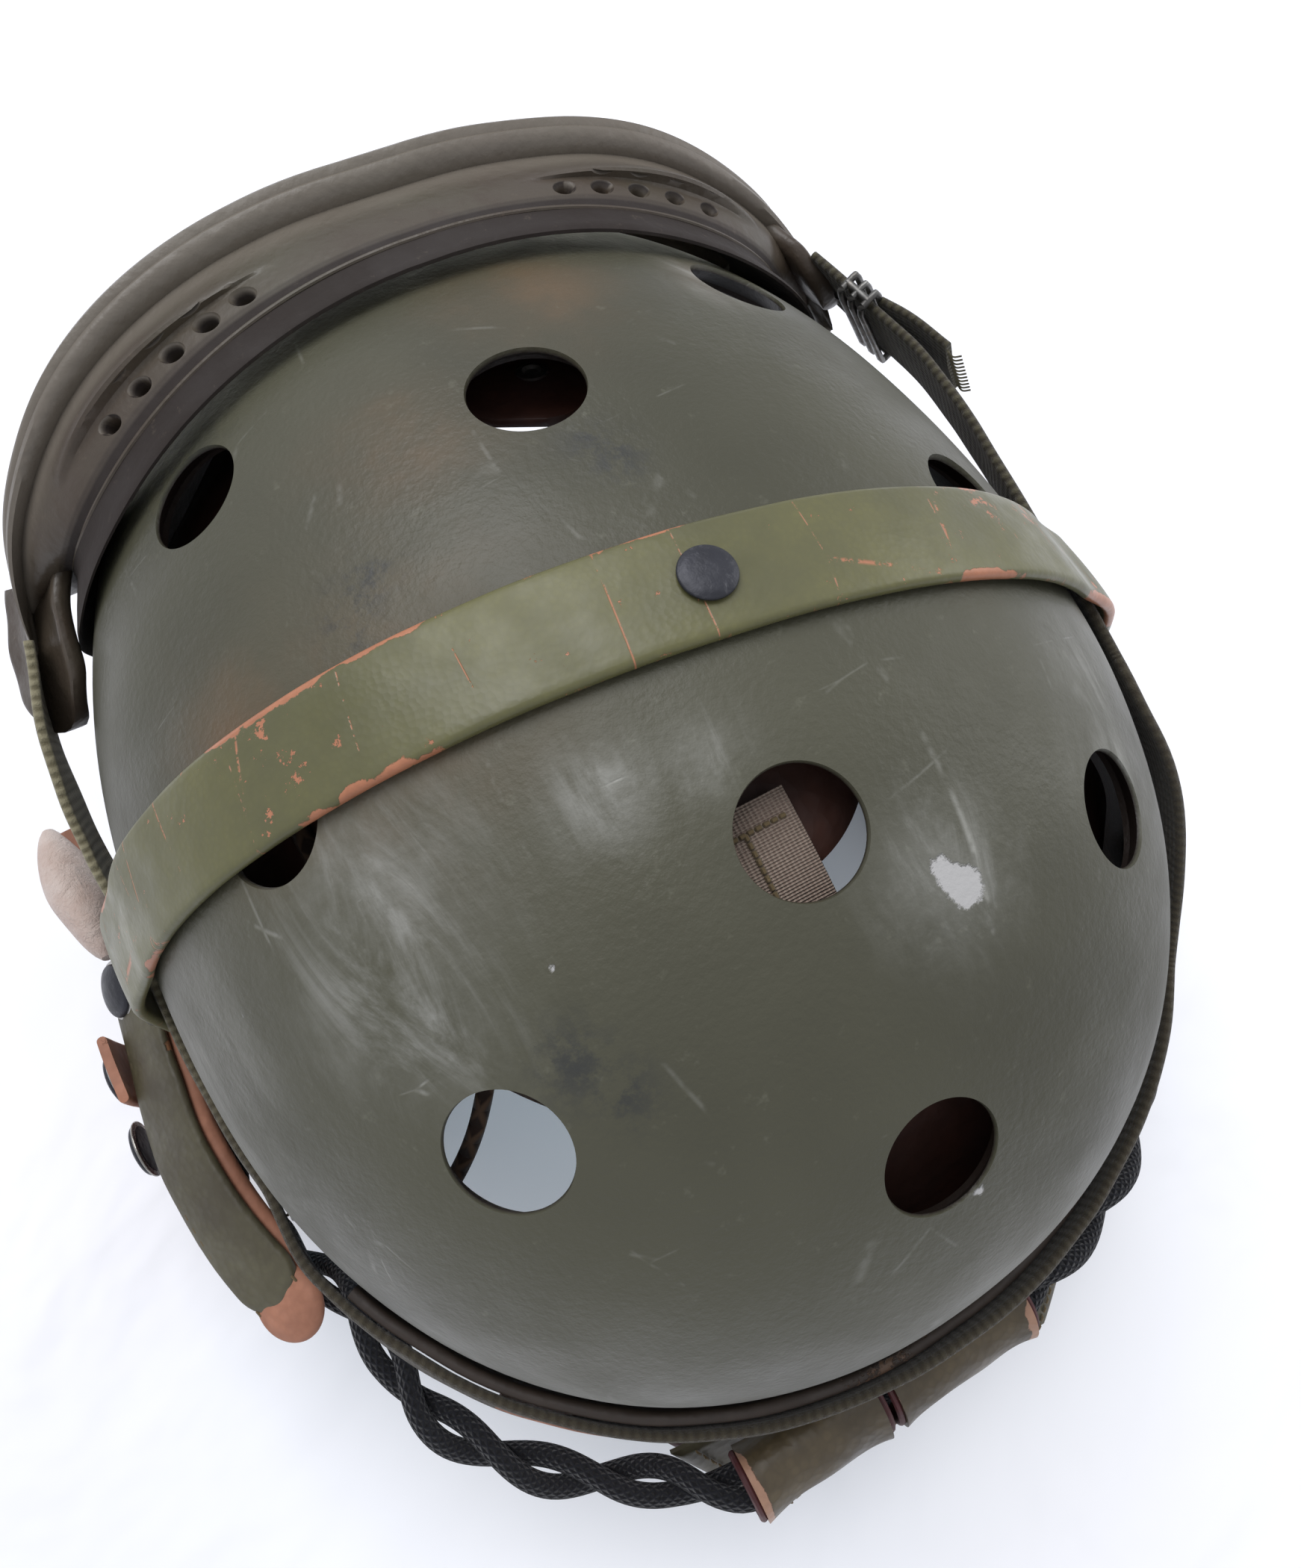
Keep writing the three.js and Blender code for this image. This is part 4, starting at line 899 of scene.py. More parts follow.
def paint_fields(points):
    """What the paint needs to know at each point: marks, pale haze low on the shell that is painted sheen,
    and dark inside faces.
    """
    inside = 1 - smoothstep(0.982, 0.992, dome_reach(np.where(points[:, 2:] > 0, points, points * [1, 1, 0])))
    for centre, normal in zip(*vent_axes()):
        away = points - centre
        up = (away * normal).sum(1)
        radius = np.linalg.norm(away - up[:, None] * normal, axis=1)
        inside[(radius < VENT_RADIUS + 3) & (np.abs(up) < 7) & (up < -1.2)] = 1.0
    toward_side = np.clip(np.abs(points[:, 0]) / 105, 0, 1)
    # Painted sheen: pale haze low on the shell, strongest toward the left and right sides.
    lower_side_sheen = (1 - smoothstep(-19, 34, points[:, 2])) * (0.1 + 0.85 * toward_side**2)
    return {
        # The scuff field carries real scuffs and the painted sheen of the lower sides.
        "scuff": np.clip(np.maximum(spots(points, SCUFFS_AND_SHEEN), lower_side_sheen), 0, 1) * (1 - inside),
        "rust": spots(points, RUST), "stain": spots(points, STAINS), "chip": spots(points, CHIPS),
        "rim": (points[:, 2] < -18.2) * 0.8, "inside": inside,
    }


def add_shell():
    points, faces = loft(shell_rings(), ends=([0, 0, HEIGHT], [0, 0, HEIGHT - WALL]))
    shell = piece("helmet_shell", points, faces, PAINT, None, sharp=50)
    cut_away(shell, vent_drill(), PAINT, 32)
    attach(shell, "helmet")
    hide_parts("crown_shell")
    mesh = shell.data
    points = (np.array([v.co for v in mesh.vertices]) - DOME_CENTRE) * 1000
    for key, values in paint_fields(points).items():
        mesh.attributes.new(key, "FLOAT", "POINT").data.foreach_set("value", values.astype(np.float32))


def level_ribbon(name, start, end, low, high, offset, thickness, finish, replaces=(), loop=False, **shape):
    """A band round the shell between two azimuths in degrees and two heights."""
    count = max(12, int(abs(end - start) / 1.5))
    azimuth = np.radians(np.linspace(start, end, count, endpoint=not loop))
    line = outline(azimuth, (low + high) / 2, offset)
    return ribbon(name, line, outline_normal(azimuth), high - low, thickness, finish, "helmet", replaces,
                  loop, **shape)


def add_shell_bands():
    level_ribbon("neck_leather_band", 213, 327, -25, 7, 1.3, 2.6, BROWN, "neck_band", wobble=0.35)
    level_ribbon("left_hinge_leather", 155.5, 204.5, -25, -18, 1.2, 1.4, BROWN, "left_hinge_strip")
    level_ribbon("right_hinge_leather", -24.5, 24.5, -25, -18, 1.2, 1.4, BROWN, "right_hinge_strip")
    level_ribbon("sweatband_pad", 0, 360, -14, 5, -WALL - 6, 4, FELT, "sweatband_felt", loop=True, crown=0.6)
    level_ribbon("sweatband_leather", 0, 360, -20, 5, -WALL - 8.8, 2.1, LINER, "sweatband", loop=True,
                 wobble=0.3)
    azimuth = np.radians(np.linspace(214, 326, 120))
    for height, name in ((-22.5, "neck_band_lower_seam"), (-12, "neck_band_upper_seam")):
        stitches(name, outline(azimuth, height, 4.0), outline_normal(azimuth), "helmet")
    azimuth = np.radians(np.linspace(0, 360, 300))
    seam = outline(azimuth, -17.5, -WALL - 9.0)
    stitches("sweatband_seam", seam, -outline_normal(azimuth), "helmet", pitch=4.0)


# Head suspension ----------------------------------------------------------------------------------
def add_liner_tongues():
    """Six leather tongues round the head, drawn together at the crown by a lace through their eyelets."""
    stations = [7, 22, 38, 55]
    turned_by = [-5, 3, -5, -5, 12, 0]
    eyelet = [(0, 2.0), (2.4, 2.0), (3.1, 2.3), (3.1, 2.8), (1.9, 3.0), (1.4, 2.4), (0, 2.3)]
    for i in range(6):
        azimuth = math.radians(15 + 60 * i + turned_by[i])
        rises = np.linspace(7, 68 if i == 1 else 60, 40)
        offset = np.interp(rises, stations, [-16, -15.5, -16, -17])
        width = np.interp(rises, stations, [61, 60, 58, 38])
        line = on_dome(np.full(len(rises), azimuth), np.radians(rises), offset)
        ribbon(f"liner_leather_{i + 1}", line, dome_normal(line), width, 2.0, LINER, "helmet",
               f"liner_tongue_{i + 1}", round_end=True, wobble=0.5, seed=i)
        turned(f"liner_eyelet_{i + 1}", eyelet, line[-5], dome_normal(line[-5]), NICKEL, "helmet", sides=32)


def add_crown_lace():
    angle = np.linspace(0, 2 * math.pi, 200, endpoint=False)
    lace = on_dome(angle, np.full(200, math.radians(48)), -12.5 + 0.8 * np.sin(9 * angle))
    tube("crown_lace_braid", lace, 1.7, BROWN_LACE, "helmet", "crown_lace", loop=True)
    t = np.linspace(0, 1, 40)
    tail = on_dome(np.radians(214 + 1.6 * t + 1.0 * np.sin(5 * t)), np.radians(50 - 24 * t), -12 + 3 * t)
    tube("crown_lace_tail", tail, 1.45, BROWN_LACE, "helmet")


def crown_pad_point(u, v):
    x = lerp(-30, 30, u)
    half = 48 * np.sqrt(1 - (0.9 * x / 30)**2)
    return above_dome(x, lerp(-half, half, v), -14.2)


def add_suspension():
    add_liner_tongues()
    add_crown_lace()
    slab("crown_pad_leather", crown_pad_point, 2.2, LINER, "helmet", "crown_pad", wobble=0.3)
    line = above_dome(np.full(40, -8.0), np.linspace(-33, -66, 40), -9.6)
    ribbon("rear_webbing_strip", line, dome_normal(line), 22, 1.5, CREAM, "helmet", "rear_webbing",
           wobble=0.25)
    bar = above_dome(np.linspace(-17, 1, 30), np.full(30, -37.5), -7.9)
    stem = above_dome(np.full(24, -6.0), np.linspace(-38, -58, 24), -7.9)
    for name, path in (("webbing_bar_tack", bar), ("webbing_middle_tack", stem)):
        stitches(name, path, dome_normal(path), "helmet", TACK_THREAD, pitch=1.3, length=1.5, radius=0.45)


# Crown strap --------------------------------------------------------------------------------------
def crown_strap_line(t):
    """Points and outward directions of the strap's underside, t from -1 at its left end to 1 at its right."""
    t = np.asarray(t, float)
    side, reach = np.where(t < 0, -1.0, 1.0), np.abs(t)
    start = np.where(side > 0, 0.5, 0.66)
    over = np.clip((reach - start) / 0.14, 0, 1)
    offset = 0.5 + smoothstep(0, 1, over) * (WEB_THICKNESS + 1.5)
    rise = np.pi / 2 * (1 - np.minimum(reach, STRAP_EQUATOR) / STRAP_EQUATOR)
    azimuth = np.where(side > 0, 0.0, math.pi)
    dome = on_dome(azimuth, np.maximum(rise, 1e-4), offset)
    hang = np.maximum(0, reach - STRAP_EQUATOR) / (1 - STRAP_EQUATOR)
    below = np.stack([side * (HALF_WIDTH + offset), np.zeros_like(t), hang * -8.0], -1)
    use = (reach <= STRAP_EQUATOR)[..., None]
    points = np.where(use, dome, below)
    outward = np.where(use, dome_normal(dome), np.stack([side, np.zeros_like(t), np.zeros_like(t)], -1))
    points[..., 1] += STRAP_SLANT * points[..., 0]
    return points, outward


def snap_cap(name, position, direction, radius, node, body):
    """A domed snap cap with a bright rim under it."""
    profile = [(0, 0), (radius * 0.9, 0), (radius, 0.5), (radius, 1.3), (radius * 0.93, 1.8),
               (radius * 0.62, 2.5), (radius * 0.3, 2.85), (0, 2.95)]
    turned(name, rounded(profile, 0.5), position, direction, BLACK_METAL, body, node)
    ring = [(radius * 0.72, 0.1), (radius + 0.55, 0.1), (radius + 0.75, 0.45), (radius + 0.55, 0.8),
            (radius * 0.72, 0.8)]
    turned(f"{name}_rim", rounded(ring, 0.2), position, direction, NICKEL, body)


def add_crown_strap():
    line, outward = crown_strap_line(np.linspace(-1, 1, 260))
    ribbon("crown_strap_leather", line, outward, STRAP_WIDTH, STRAP_THICKNESS, STRAP_LEATHER, "helmet",
           "crown_strap", crown=0.35, wobble=0.3, lumps=16, along=16)
    for name, t in (("left", -0.92), ("right", 0.92)):
        point, out = crown_strap_line(np.array([t]))
        snap_cap(f"{name}_strap_snap_cap", point[0] + out[0] * (STRAP_THICKNESS + 0.3), out[0], 7.5,
                 f"{name}_strap_snap", "helmet")
    point, out = crown_strap_line(np.array([0.03]))
    profile = [(0, 0), (4.4, 0), (4.9, 0.35), (4.8, 0.8), (3.6, 1.25), (1.8, 1.45), (0, 1.5)]
    turned("crown_rivet_head", rounded(profile, 0.4), point[0] + out[0] * (STRAP_THICKNESS + 0.5), out[0],
           BLACK_METAL, "helmet", "crown_rivet")


# Goggle strap -------------------------------------------------------------------------------------
STRAP_HEIGHTS = [(-4, 42), (-18, 36), (-48, 2), (-75, -3), (-120, -6), (-150, -6), (-187, -3)]
LEFT_STRAP = [(-102, 84, 27), (-107, 66, 20), (-110, 44, 8), (-109.6, 28, 0), (-109.4, 13.5, -3)]
LEFT_UPRIGHT = [(-0.22, 0.44, -0.87), (0, 0, -1)]
RIGHT_STRAP = [(97.5, 86, 44), (100, 69, 44.7), (102.5, 52, 45.4), (102.6, 30, 45), (101, 12, 43.4),
               (100.1, -6.5, 42.4)]
RIGHT_UPRIGHT = [(0.5, 0.25, -0.83), (0.47, 0, -0.88)]
STRAP_LEAN = math.radians(11)


def strap_height(angle):
    for (a, low), (b, high) in zip(STRAP_HEIGHTS, STRAP_HEIGHTS[1:]):
        if angle >= b:
            return lerp(low, high, float(smoothstep(0, 1, (angle - a) / (b - a))))
    return STRAP_HEIGHTS[-1][1]


def front_strap(route, upright, count=70):
    line = spline(route, count)
    t = np.linspace(0, 1, count)[:, None]
    up = lerp(np.array(upright[0], float), np.array(upright[1], float), t)
    outward = unit(np.cross(tangents(line), up))
    if (outward[:, 0] * line[:, 0]).sum() < 0:
        outward = -outward
    return line, outward


def add_rear_strap():
    """The strap's stretch round the back, which crosses the neck band and leans out near its left end."""
    angle = np.linspace(-4, -187, 190)
    heights = np.array([strap_height(a) for a in angle])
    azimuth = np.radians(angle)
    on_band = np.clip(np.minimum((angle + 162) / 12, (-18 - angle) / 12), 0, 1)
    point = outline(azimuth, heights)
    outward = np.where((heights > 0)[:, None], dome_normal(point), outline_normal(azimuth))
    line = point + outward * (0.9 + smoothstep(0, 1, on_band) * (NECK_BAND_THICKNESS + 0.8))[:, None]
    leaning = (smoothstep(-112, -128, angle) * smoothstep(-186, -176, angle))[:, None]
    lean = STRAP_LEAN * leaning
    outward = outward * np.cos(lean) + np.sin(lean) * np.array([0, 0, 1.0])
    line = line + outward * 1.6 * np.sin(lean) / math.sin(STRAP_LEAN)
    ribbon("rear_goggle_strap", line, outward, WEB_WIDTH, WEB_THICKNESS, REAR_KHAKI, "helmet",
           "goggle_strap_rear", wobble=0.35, along=14)


def add_goggle_strap():
    add_rear_strap()
    for name, route, upright, finish in (
        ("left", LEFT_STRAP, LEFT_UPRIGHT, KHAKI), ("right", RIGHT_STRAP, RIGHT_UPRIGHT, SHADED_KHAKI),
    ):
        line, outward = front_strap(route, upright)
        made = ribbon(f"{name}_goggle_strap", line, outward, WEB_WIDTH, WEB_THICKNESS, finish, None,
                      f"goggle_strap_{name}", wobble=0.5, along=14)
        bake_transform(made)


def add_slide_frame(centre, along, across, out):
    """A wire frame of three loops round the strap, held by a rail at each edge."""
    half_width, half_thick = WEB_WIDTH / 2 + 1.9, WEB_THICKNESS / 2 + 1.6
    corners = [(-1, -1), (1, -1), (1, 1), (-1, 1)]
    t = np.linspace(0.08, 0.92, 8)[:, None]
    made = []
    for k, run in enumerate((-3.4, 0.0, 3.4)):
        turns = [centre + along * run + across * a * half_width + out * b * half_thick for a, b in corners]
        loop = [start + (end - start) * t for start, end in zip(turns, turns[1:] + turns[:1])]
        made.append(tube(f"slide_wire_{k}", np.vstack(loop), 0.85, STEEL, None, sides=10, loop=True))
    for k, side in enumerate((-1, 1)):
        rail = centre + across * side * half_width + along * np.linspace(-3.6, 3.6, 8)[:, None]
        made.append(tube(f"slide_rail_{k}", rail, 0.95, STEEL, None, sides=10))
    slide = join("slide_wire_frame", made)
    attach(slide, "slide")
    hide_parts("strap_slide")


def add_strap_end(tail, outward, across):
    """The strap's free end lying over it behind the slide, with frayed threads."""
    lift = np.linspace(2.6, 5.2, len(tail))[:, None]
    end = ribbon("strap_free_end", tail + outward * lift, outward, WEB_WIDTH * 0.92, 1.7, SHADED_KHAKI, None,
                 wobble=0.8, seed=5)
    tip, forward = tail[-1] + outward[-1] * 6.0, tangents(tail)[-1]
    threads = []
    for k in range(11):
        start = tip + across * (k - 5) * 2.0
        bend = np.array([noise.noise(Vector((k, 3.0, j))) for j in range(3)])
        far = start + forward * (3.4 + 1.6 * abs(bend[0])) + outward[-1] * 1.5 + bend * 2.5
        path = spline([start, start + forward * 2.2 + bend, far], 10)
        threads.append(tube(f"fray_{k}", path, 0.22, KHAKI, None, sides=5))
    for made in (end, join("strap_frayed_threads", threads)):
        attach(made, "slide")


def add_strap_slide():
    line, outward = front_strap(RIGHT_STRAP, RIGHT_UPRIGHT)
    at = 12
    along, out = tangents(line)[at], outward[at]
    across = unit(np.cross(out, along))
    add_slide_frame(line[at] + out * WEB_THICKNESS / 2, along, across, out)
    add_strap_end(line[at + 3:at + 18], outward[at + 3:at + 18], across)


# Goggles ------------------------------------------------------------------------------------------
def from_goggles(points):
    """Points in the goggles' own frame (face towards -Y) to the dome's frame."""
    points = np.asarray(points, float)
    c, s = math.cos(GOGGLES_TILT), math.sin(GOGGLES_TILT)
    return np.stack([
        points[..., 0],
        points[..., 1] * c - points[..., 2] * s + GOGGLES_FORWARD,
        points[..., 1] * s + points[..., 2] * c + GOGGLES_HEIGHT,
    ], -1)


def lens_setback(x):
    x = np.minimum(1, np.abs(x) / LENS_HALF_WIDTH)
    return LENS_WRAP * (1 - (1 - x**2.6)**0.625)


def dome_setback(x, z):
    """How far behind the middle of the lens the shell's surface lies."""
    near, far = np.full(np.shape(x), -10.0), np.full(np.shape(x), 120.0)
    for _ in range(30):
        middle = (near + far) / 2
        outside = dome_reach(from_goggles(np.stack([x, -middle, z], -1))) > 1
        near, far = np.where(outside, middle, near), np.where(outside, far, middle)
    return near


def rounded_rectangle(angle, half_width, half_height):
    c, s = np.cos(angle), np.sin(angle)
    return half_width * np.sign(c) * np.abs(c)**(2 / 3), half_height * np.sign(s) * np.abs(s)**(2 / 3)


def lens_edge(angle, scale, ahead):
    x, z = rounded_rectangle(angle, LENS_HALF_WIDTH * scale, LENS_HALF_HEIGHT * scale)
    return np.stack([x, ahead - lens_setback(x), z], -1)


def face_edge(angle, scale, above):
    """The face flange's edge, above the shell by a distance."""
    x, z = rounded_rectangle(angle, FACE_HALF_WIDTH * scale, FACE_HALF_HEIGHT * scale)
    return np.stack([x, above - dome_setback(x, z), z], -1)


def goggle_wall(angle, t):
    """The outer wall from the lens rim to the flange, t from 0 to 1, with a hood above each vent row."""
    t = np.broadcast_to(np.asarray(t, float), np.shape(angle))
    rim, foot = lens_edge(angle, 0.985, -4.6), face_edge(angle, 0.97, 7.0)
    middle = lerp(rim, foot, t[..., None])
    away = unit(middle * [1, 0, 1] + 1e-9)
    sideways = LENS_HALF_WIDTH * np.abs(np.cos(angle))**(2 / 3)
    share = np.clip((sideways - 27) / (84 - 27), 0, 1)
    ridge = 4.0 * np.sin(np.pi * share)**0.8 * (np.sin(angle) > 0)
    hood = smoothstep(0.1, 0.42, t) * (1 - smoothstep(0.42, 0.49, t))
    return middle + away * (1.6 * np.sin(np.pi * t) + ridge * hood)[..., None]


def goggle_rings(angle):
    """Rings from the lens groove over the rim, down the wall, round the flange and back up inside."""
    rim = ((0.93, 2.2), (0.965, 3.0), (0.99, 2.7), (1.0, 1.9), (1.002, 0.9), (1.02, 0.6), (1.032, -0.3),
           (1.03, -1.8), (1.012, -3.4), (0.985, -4.4))
    flange = ((0.985, 6.4), (1.02, 5.9), (1.045, 5.6), (1.052, 4.9), (1.045, 4.1), (1.02, 3.8), (0.95, 3.8),
              (0.87, 3.8))
    groove = ((0.89, -4.4), (0.885, -2.2), (0.93, -1.9), (0.93, 1.4))
    rings = [lens_edge(angle, scale, ahead) for scale, ahead in rim]
    rings += [goggle_wall(angle, np.full(len(angle), t)) for t in np.linspace(0.04, 0.94, 28)]
    rings += [face_edge(angle, scale, above) for scale, above in flange]
    inner_rim, inner_foot = lens_edge(angle, 0.90, -6.4), face_edge(angle, 0.87, 5.6)
    rings += [lerp(inner_foot, inner_rim, t) for t in np.linspace(0.05, 1, 8)]
    rings += [lens_edge(angle, scale, ahead) for scale, ahead in groove]
    rings = from_goggles(np.array(rings))
    lumps = ripple(rings, 26, 4).reshape(rings.shape[:2])[..., None] * 0.5
    return rings + lumps * unit(rings - rings.mean(axis=(0, 1)))


def add_goggles():
    around = 300
    rings = goggle_rings((np.arange(around) + 0.5) * 2 * math.pi / around)
    points, faces = loft(np.transpose(rings, (1, 0, 2)), loop=True)
    ring = np.arange(len(rings))
    # The flange field marks where painted shade darkens the rubber.
    flange = np.where(ring >= 34, 1.0, np.where(ring >= 32, 0.45, 0.0))
    crest = 1 - smoothstep(11, 20, ring)
    body = piece("goggle_body", points, faces, RUBBER, None, sharp=50,
                 flange=np.tile(flange, around), crest=np.tile(crest, around))
    cut_away(body, goggle_vent_drills(), RUBBER, 38)
    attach(body, "goggles")
    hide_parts("goggle_frame")
    add_goggle_lugs()
    add_lens()


def vent_places():
    """Angle round the goggles, and the mirror side, of each small vent above the eyes."""
    for side in (-1, 1):
        for i in range(5):
            yield side, math.acos((lerp(36, 71, i / 4) / LENS_HALF_WIDTH)**1.5)


def wall_frame(side, angle):
    """A point on the outer wall, the way along the wall, and the way out of it, in the goggles' frame."""
    t = 0.63
    at = lambda a, s: goggle_wall(np.array([a]), np.array([s]))[0] * [side, 1, 1]
    point = at(angle, t)
    along, down = at(angle - 0.02, t) - at(angle + 0.02, t), at(angle, t + 0.03) - at(angle, t - 0.03)
    out = unit(np.cross(along, down))
    return point, unit(along), unit(down), out if out[2] > 0 else -out


def goggle_vent_drills():
    profile = ((1.7, -12), (1.7, -1.3), (2.3, -0.3), (4.2, 1.6))
    angle = np.linspace(0, 2 * math.pi, 28, endpoint=False)
    made = []
    for side, where in vent_places():
        centre, along, down, out = wall_frame(side, where)
        spoke = np.cos(angle)[:, None] * along + np.sin(angle)[:, None] * down
        own, skin = loft([centre + spoke * r + out * h for r, h in profile])
        made.append((from_goggles(own), skin))
    points, faces = gathered(made)
    # Its faces carry the flange field, so the vent bores get painted shade.
    return piece("goggle_drill", points, faces, RUBBER, None, flange=np.ones(len(points)))


def add_goggle_lugs():
    """The soft ends that the straps are sewn to, and the moulding seam along the wall's foot."""
    made = []
    for side, route, upright, reach, tilt in (
        (-1, LEFT_STRAP, LEFT_UPRIGHT, 17, 0.5), (1, RIGHT_STRAP, RIGHT_UPRIGHT, 5, 0.0),
    ):
        line, outward = front_strap(route, upright)
        steps = np.linspace(-14, reach, 40)[:, None]
        path = line[0] + tangents(line)[0] * steps - outward[0] * (4.6 + 0.008 * steps**2)
        face = unit(outward[0] + np.array([0, 0, tilt]))
        made.append(ribbon(f"lug_{side}", path, face + 0 * path, 30, 3.8, RUBBER, None,
                           round_end=True, crown=0.6, wobble=0.8, lumps=9, curl=-2.2))
    angles = np.linspace(0.2, math.pi - 0.2, 200)
    seam = np.array([from_goggles(goggle_wall(np.array([a]), np.array([0.95]))[0]) for a in angles])
    made.append(tube("seam", seam, 0.5, RUBBER, None, sides=8))
    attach(join("goggle_lugs", made), "goggles")


def add_lens():
    u, v = np.meshgrid(np.linspace(-1, 1, 81), np.linspace(0, 1, 13), indexing="ij")
    x = u * LENS_HALF_WIDTH * 0.93
    share = np.minimum(0.985, np.abs(x) / (LENS_HALF_WIDTH * 0.945))
    half = LENS_HALF_HEIGHT * 0.925 * (1 - share**3)**(1 / 3)
    sheets = [np.stack([x, ahead - lens_setback(x), lerp(-half, half, v)], -1) for ahead in (0.0, -1.1)]
    points = from_goggles(np.vstack([s.reshape(-1, 3) for s in sheets]))
    piece("goggle_window", points, sheet_faces(*u.shape), LENS, "goggles", "goggle_lens", sharp=60)


# Ear flaps ----------------------------------------------------------------------------------------
def flap_point(u, v, offset):
    """Drawn on the wearer's right: u from the rear to the front, v from the top to the bottom."""
    y = lerp(lerp(-46, -36, v), lerp(60, 44, v), u)
    corner = np.maximum(0, np.abs(2 * u - 1) - 0.62) / 0.38
    bottom = -112 + 16 * corner**2
    curl = 45 * np.maximum(0, u - 0.8) * np.sin(np.pi * np.minimum(1, v + 0.15))
    bulge = 15 * np.maximum(0, np.sin(np.pi * v))**1.2
    x = lerp(103.6, 100.5, v) - 9 * ((y - 4) / 56)**2 * (1 - v) + bulge + curl + offset
    return np.stack([x, y, lerp(-26, bottom, v)], -1)


SPRING_ROUTE = [(118.5, 31, -25), (121, 16, -25.5), (123, 0, -27), (124.5, -18, -29), (122.5, -38, -31),
                (117, -58, -33)]
RECEIVER_TAB = [(132.8, -27), (133.3, -35), (133.1, -46), (131.4, -58), (129, -70), (125.4, -82), (119, -92),
                (112.8, -98)]
FLAP_PLATE = [(134, -2, -40), (134.4, -16, -41), (134, -30, -42), (132.8, -42, -43.5)]


def spring_line(side, count=60):
    line = spline(SPRING_ROUTE, count)
    along = tangents(line)
    level = unit(np.stack([-along[:, 1], along[:, 0], np.zeros(count)], 1))
    lean = np.radians(np.linspace(38, 58, count))[:, None]
    outward = (level * np.cos(lean) * np.sign(level[:, :1] * line[:, :1])
               + np.array([0, 0, 1.0]) * np.sin(lean))
    return line * [side, 1, 1], outward * [side, 1, 1]


def add_flap_sheets(side, name, body):
    """The flap's leather and its soft lining, both with a round hole for the receiver."""
    flip = np.array([side, 1.0, 1.0])
    hole = [(0, 0), (RECEIVER_RADIUS + 0.4, 0), (RECEIVER_RADIUS + 0.4, 60), (0, 60)]
    for label, node, start, thick, finish, margin in (
        ("flap_leather", "flap_panel", 0.0, FLAP_THICKNESS, OLIVE, 0.0),
        ("flap_soft_lining", "flap_lining", -5.0, FLAP_LINING, CHAMOIS, 0.07),
    ):
        made = slab(f"{name}_{label}", lambda u, v: flap_point(u, v, start) * flip, thick, finish, None,
                    margin=margin, wobble=0.5, seed=side + 3.0, steps=(70, 60))
        drill = turned("hole", hole, [90 * side, RECEIVER_Y, RECEIVER_Z], [side, 0, 0], finish, None)
        cut_away(made, drill, finish)
        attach(made, body)
        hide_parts(f"{name}_{node}")
    path = seam_round(lambda u, v, lift: flap_point(u, v, lift) * flip, 0.035, 0.965, 4.0, 260)
    stitches(f"{name}_flap_seam", path, np.array([side, 0.0, 0.0]), body, pitch=3.6)


def add_receiver(side, name, body):
    """The receiver's case and cushion, and the leather tab that holds it."""
    out = [side, 0, 0]
    at = lambda x: [x * side, RECEIVER_Y, RECEIVER_Z]
    case = [(0, 0), (20, 0), (24.2, 2.4), (25, 3.4), (25, 6.6), (24.5, 6.9), (24.5, 8.4), (25, 8.7), (25, 12),
            (23.5, 13.8), (18.4, 17.6), (16.5, 18.2), (15.8, 17.4), (11, 17.4), (10.2, 18.6), (9, 19.8),
            (0, 20)]
    turned(f"{name}_receiver_case", rounded(case, 0.8), at(RECEIVER_INNER), out, BAKELITE, body,
           f"{name}_receiver")
    ring = [(13, 3), (14, 2), (19, 0.2), (22, -0.2), (25, 0.2), (28.2, 2.5), (29.2, 6), (28.6, 9.8),
            (26, 12.8), (20, 13), (13, 12.8)]
    turned(f"{name}_receiver_cushion", rounded(ring, 1.2), at(RECEIVER_INNER - 15), out, BLACK_RUBBER, body,
           f"{name}_ear_cushion")
    tab = spline([(x * side, RECEIVER_Y, z) for x, z in RECEIVER_TAB], 60)
    up = np.cross(tangents(tab), [0, 1.0, 0])
    up *= np.sign(up[:, 0].sum() * side)
    ribbon(f"{name}_receiver_strap", tab, up, 17, 2.2, TAN, body, f"{name}_receiver_tab", crown=0.3,
           wobble=0.3)


def add_spring_arm(side, name, body):
    """The padded spring arm: olive leather over tan, two seams, and a rounded tan end."""
    line, out = spring_line(side)
    for label, node, start, width, thick, finish, crown in (
        ("spring_leather", "spring_cover", 1.9, 18.4, 2.4, OLIVE, 0.9),
        ("spring_backing", "spring_lining", -2.2, 19.4, 3.8, TAN, 0.0),
    ):
        ribbon(f"{name}_{label}", line + out * start, out, width, thick, finish, body, f"{name}_{node}",
               crown=crown, wobble=0.3, round_end=True)
    for k, edge in enumerate((-1, 1)):
        beside = unit(np.cross(out, tangents(line))) * 6.9 * edge
        stitches(f"{name}_spring_seam_{k}", (line + beside + out * 4.15)[2:-2], out[2:-2], body)
    tip = [(0, 0), (8.2, 0), (9.2, 1.4), (8.2, 3.0), (5.0, 3.9), (0, 4.2)]
    turned(f"{name}_spring_tip", rounded(tip, 1.0), line[-1] + out[-1] * 1.2, out[-1], TAN, body)


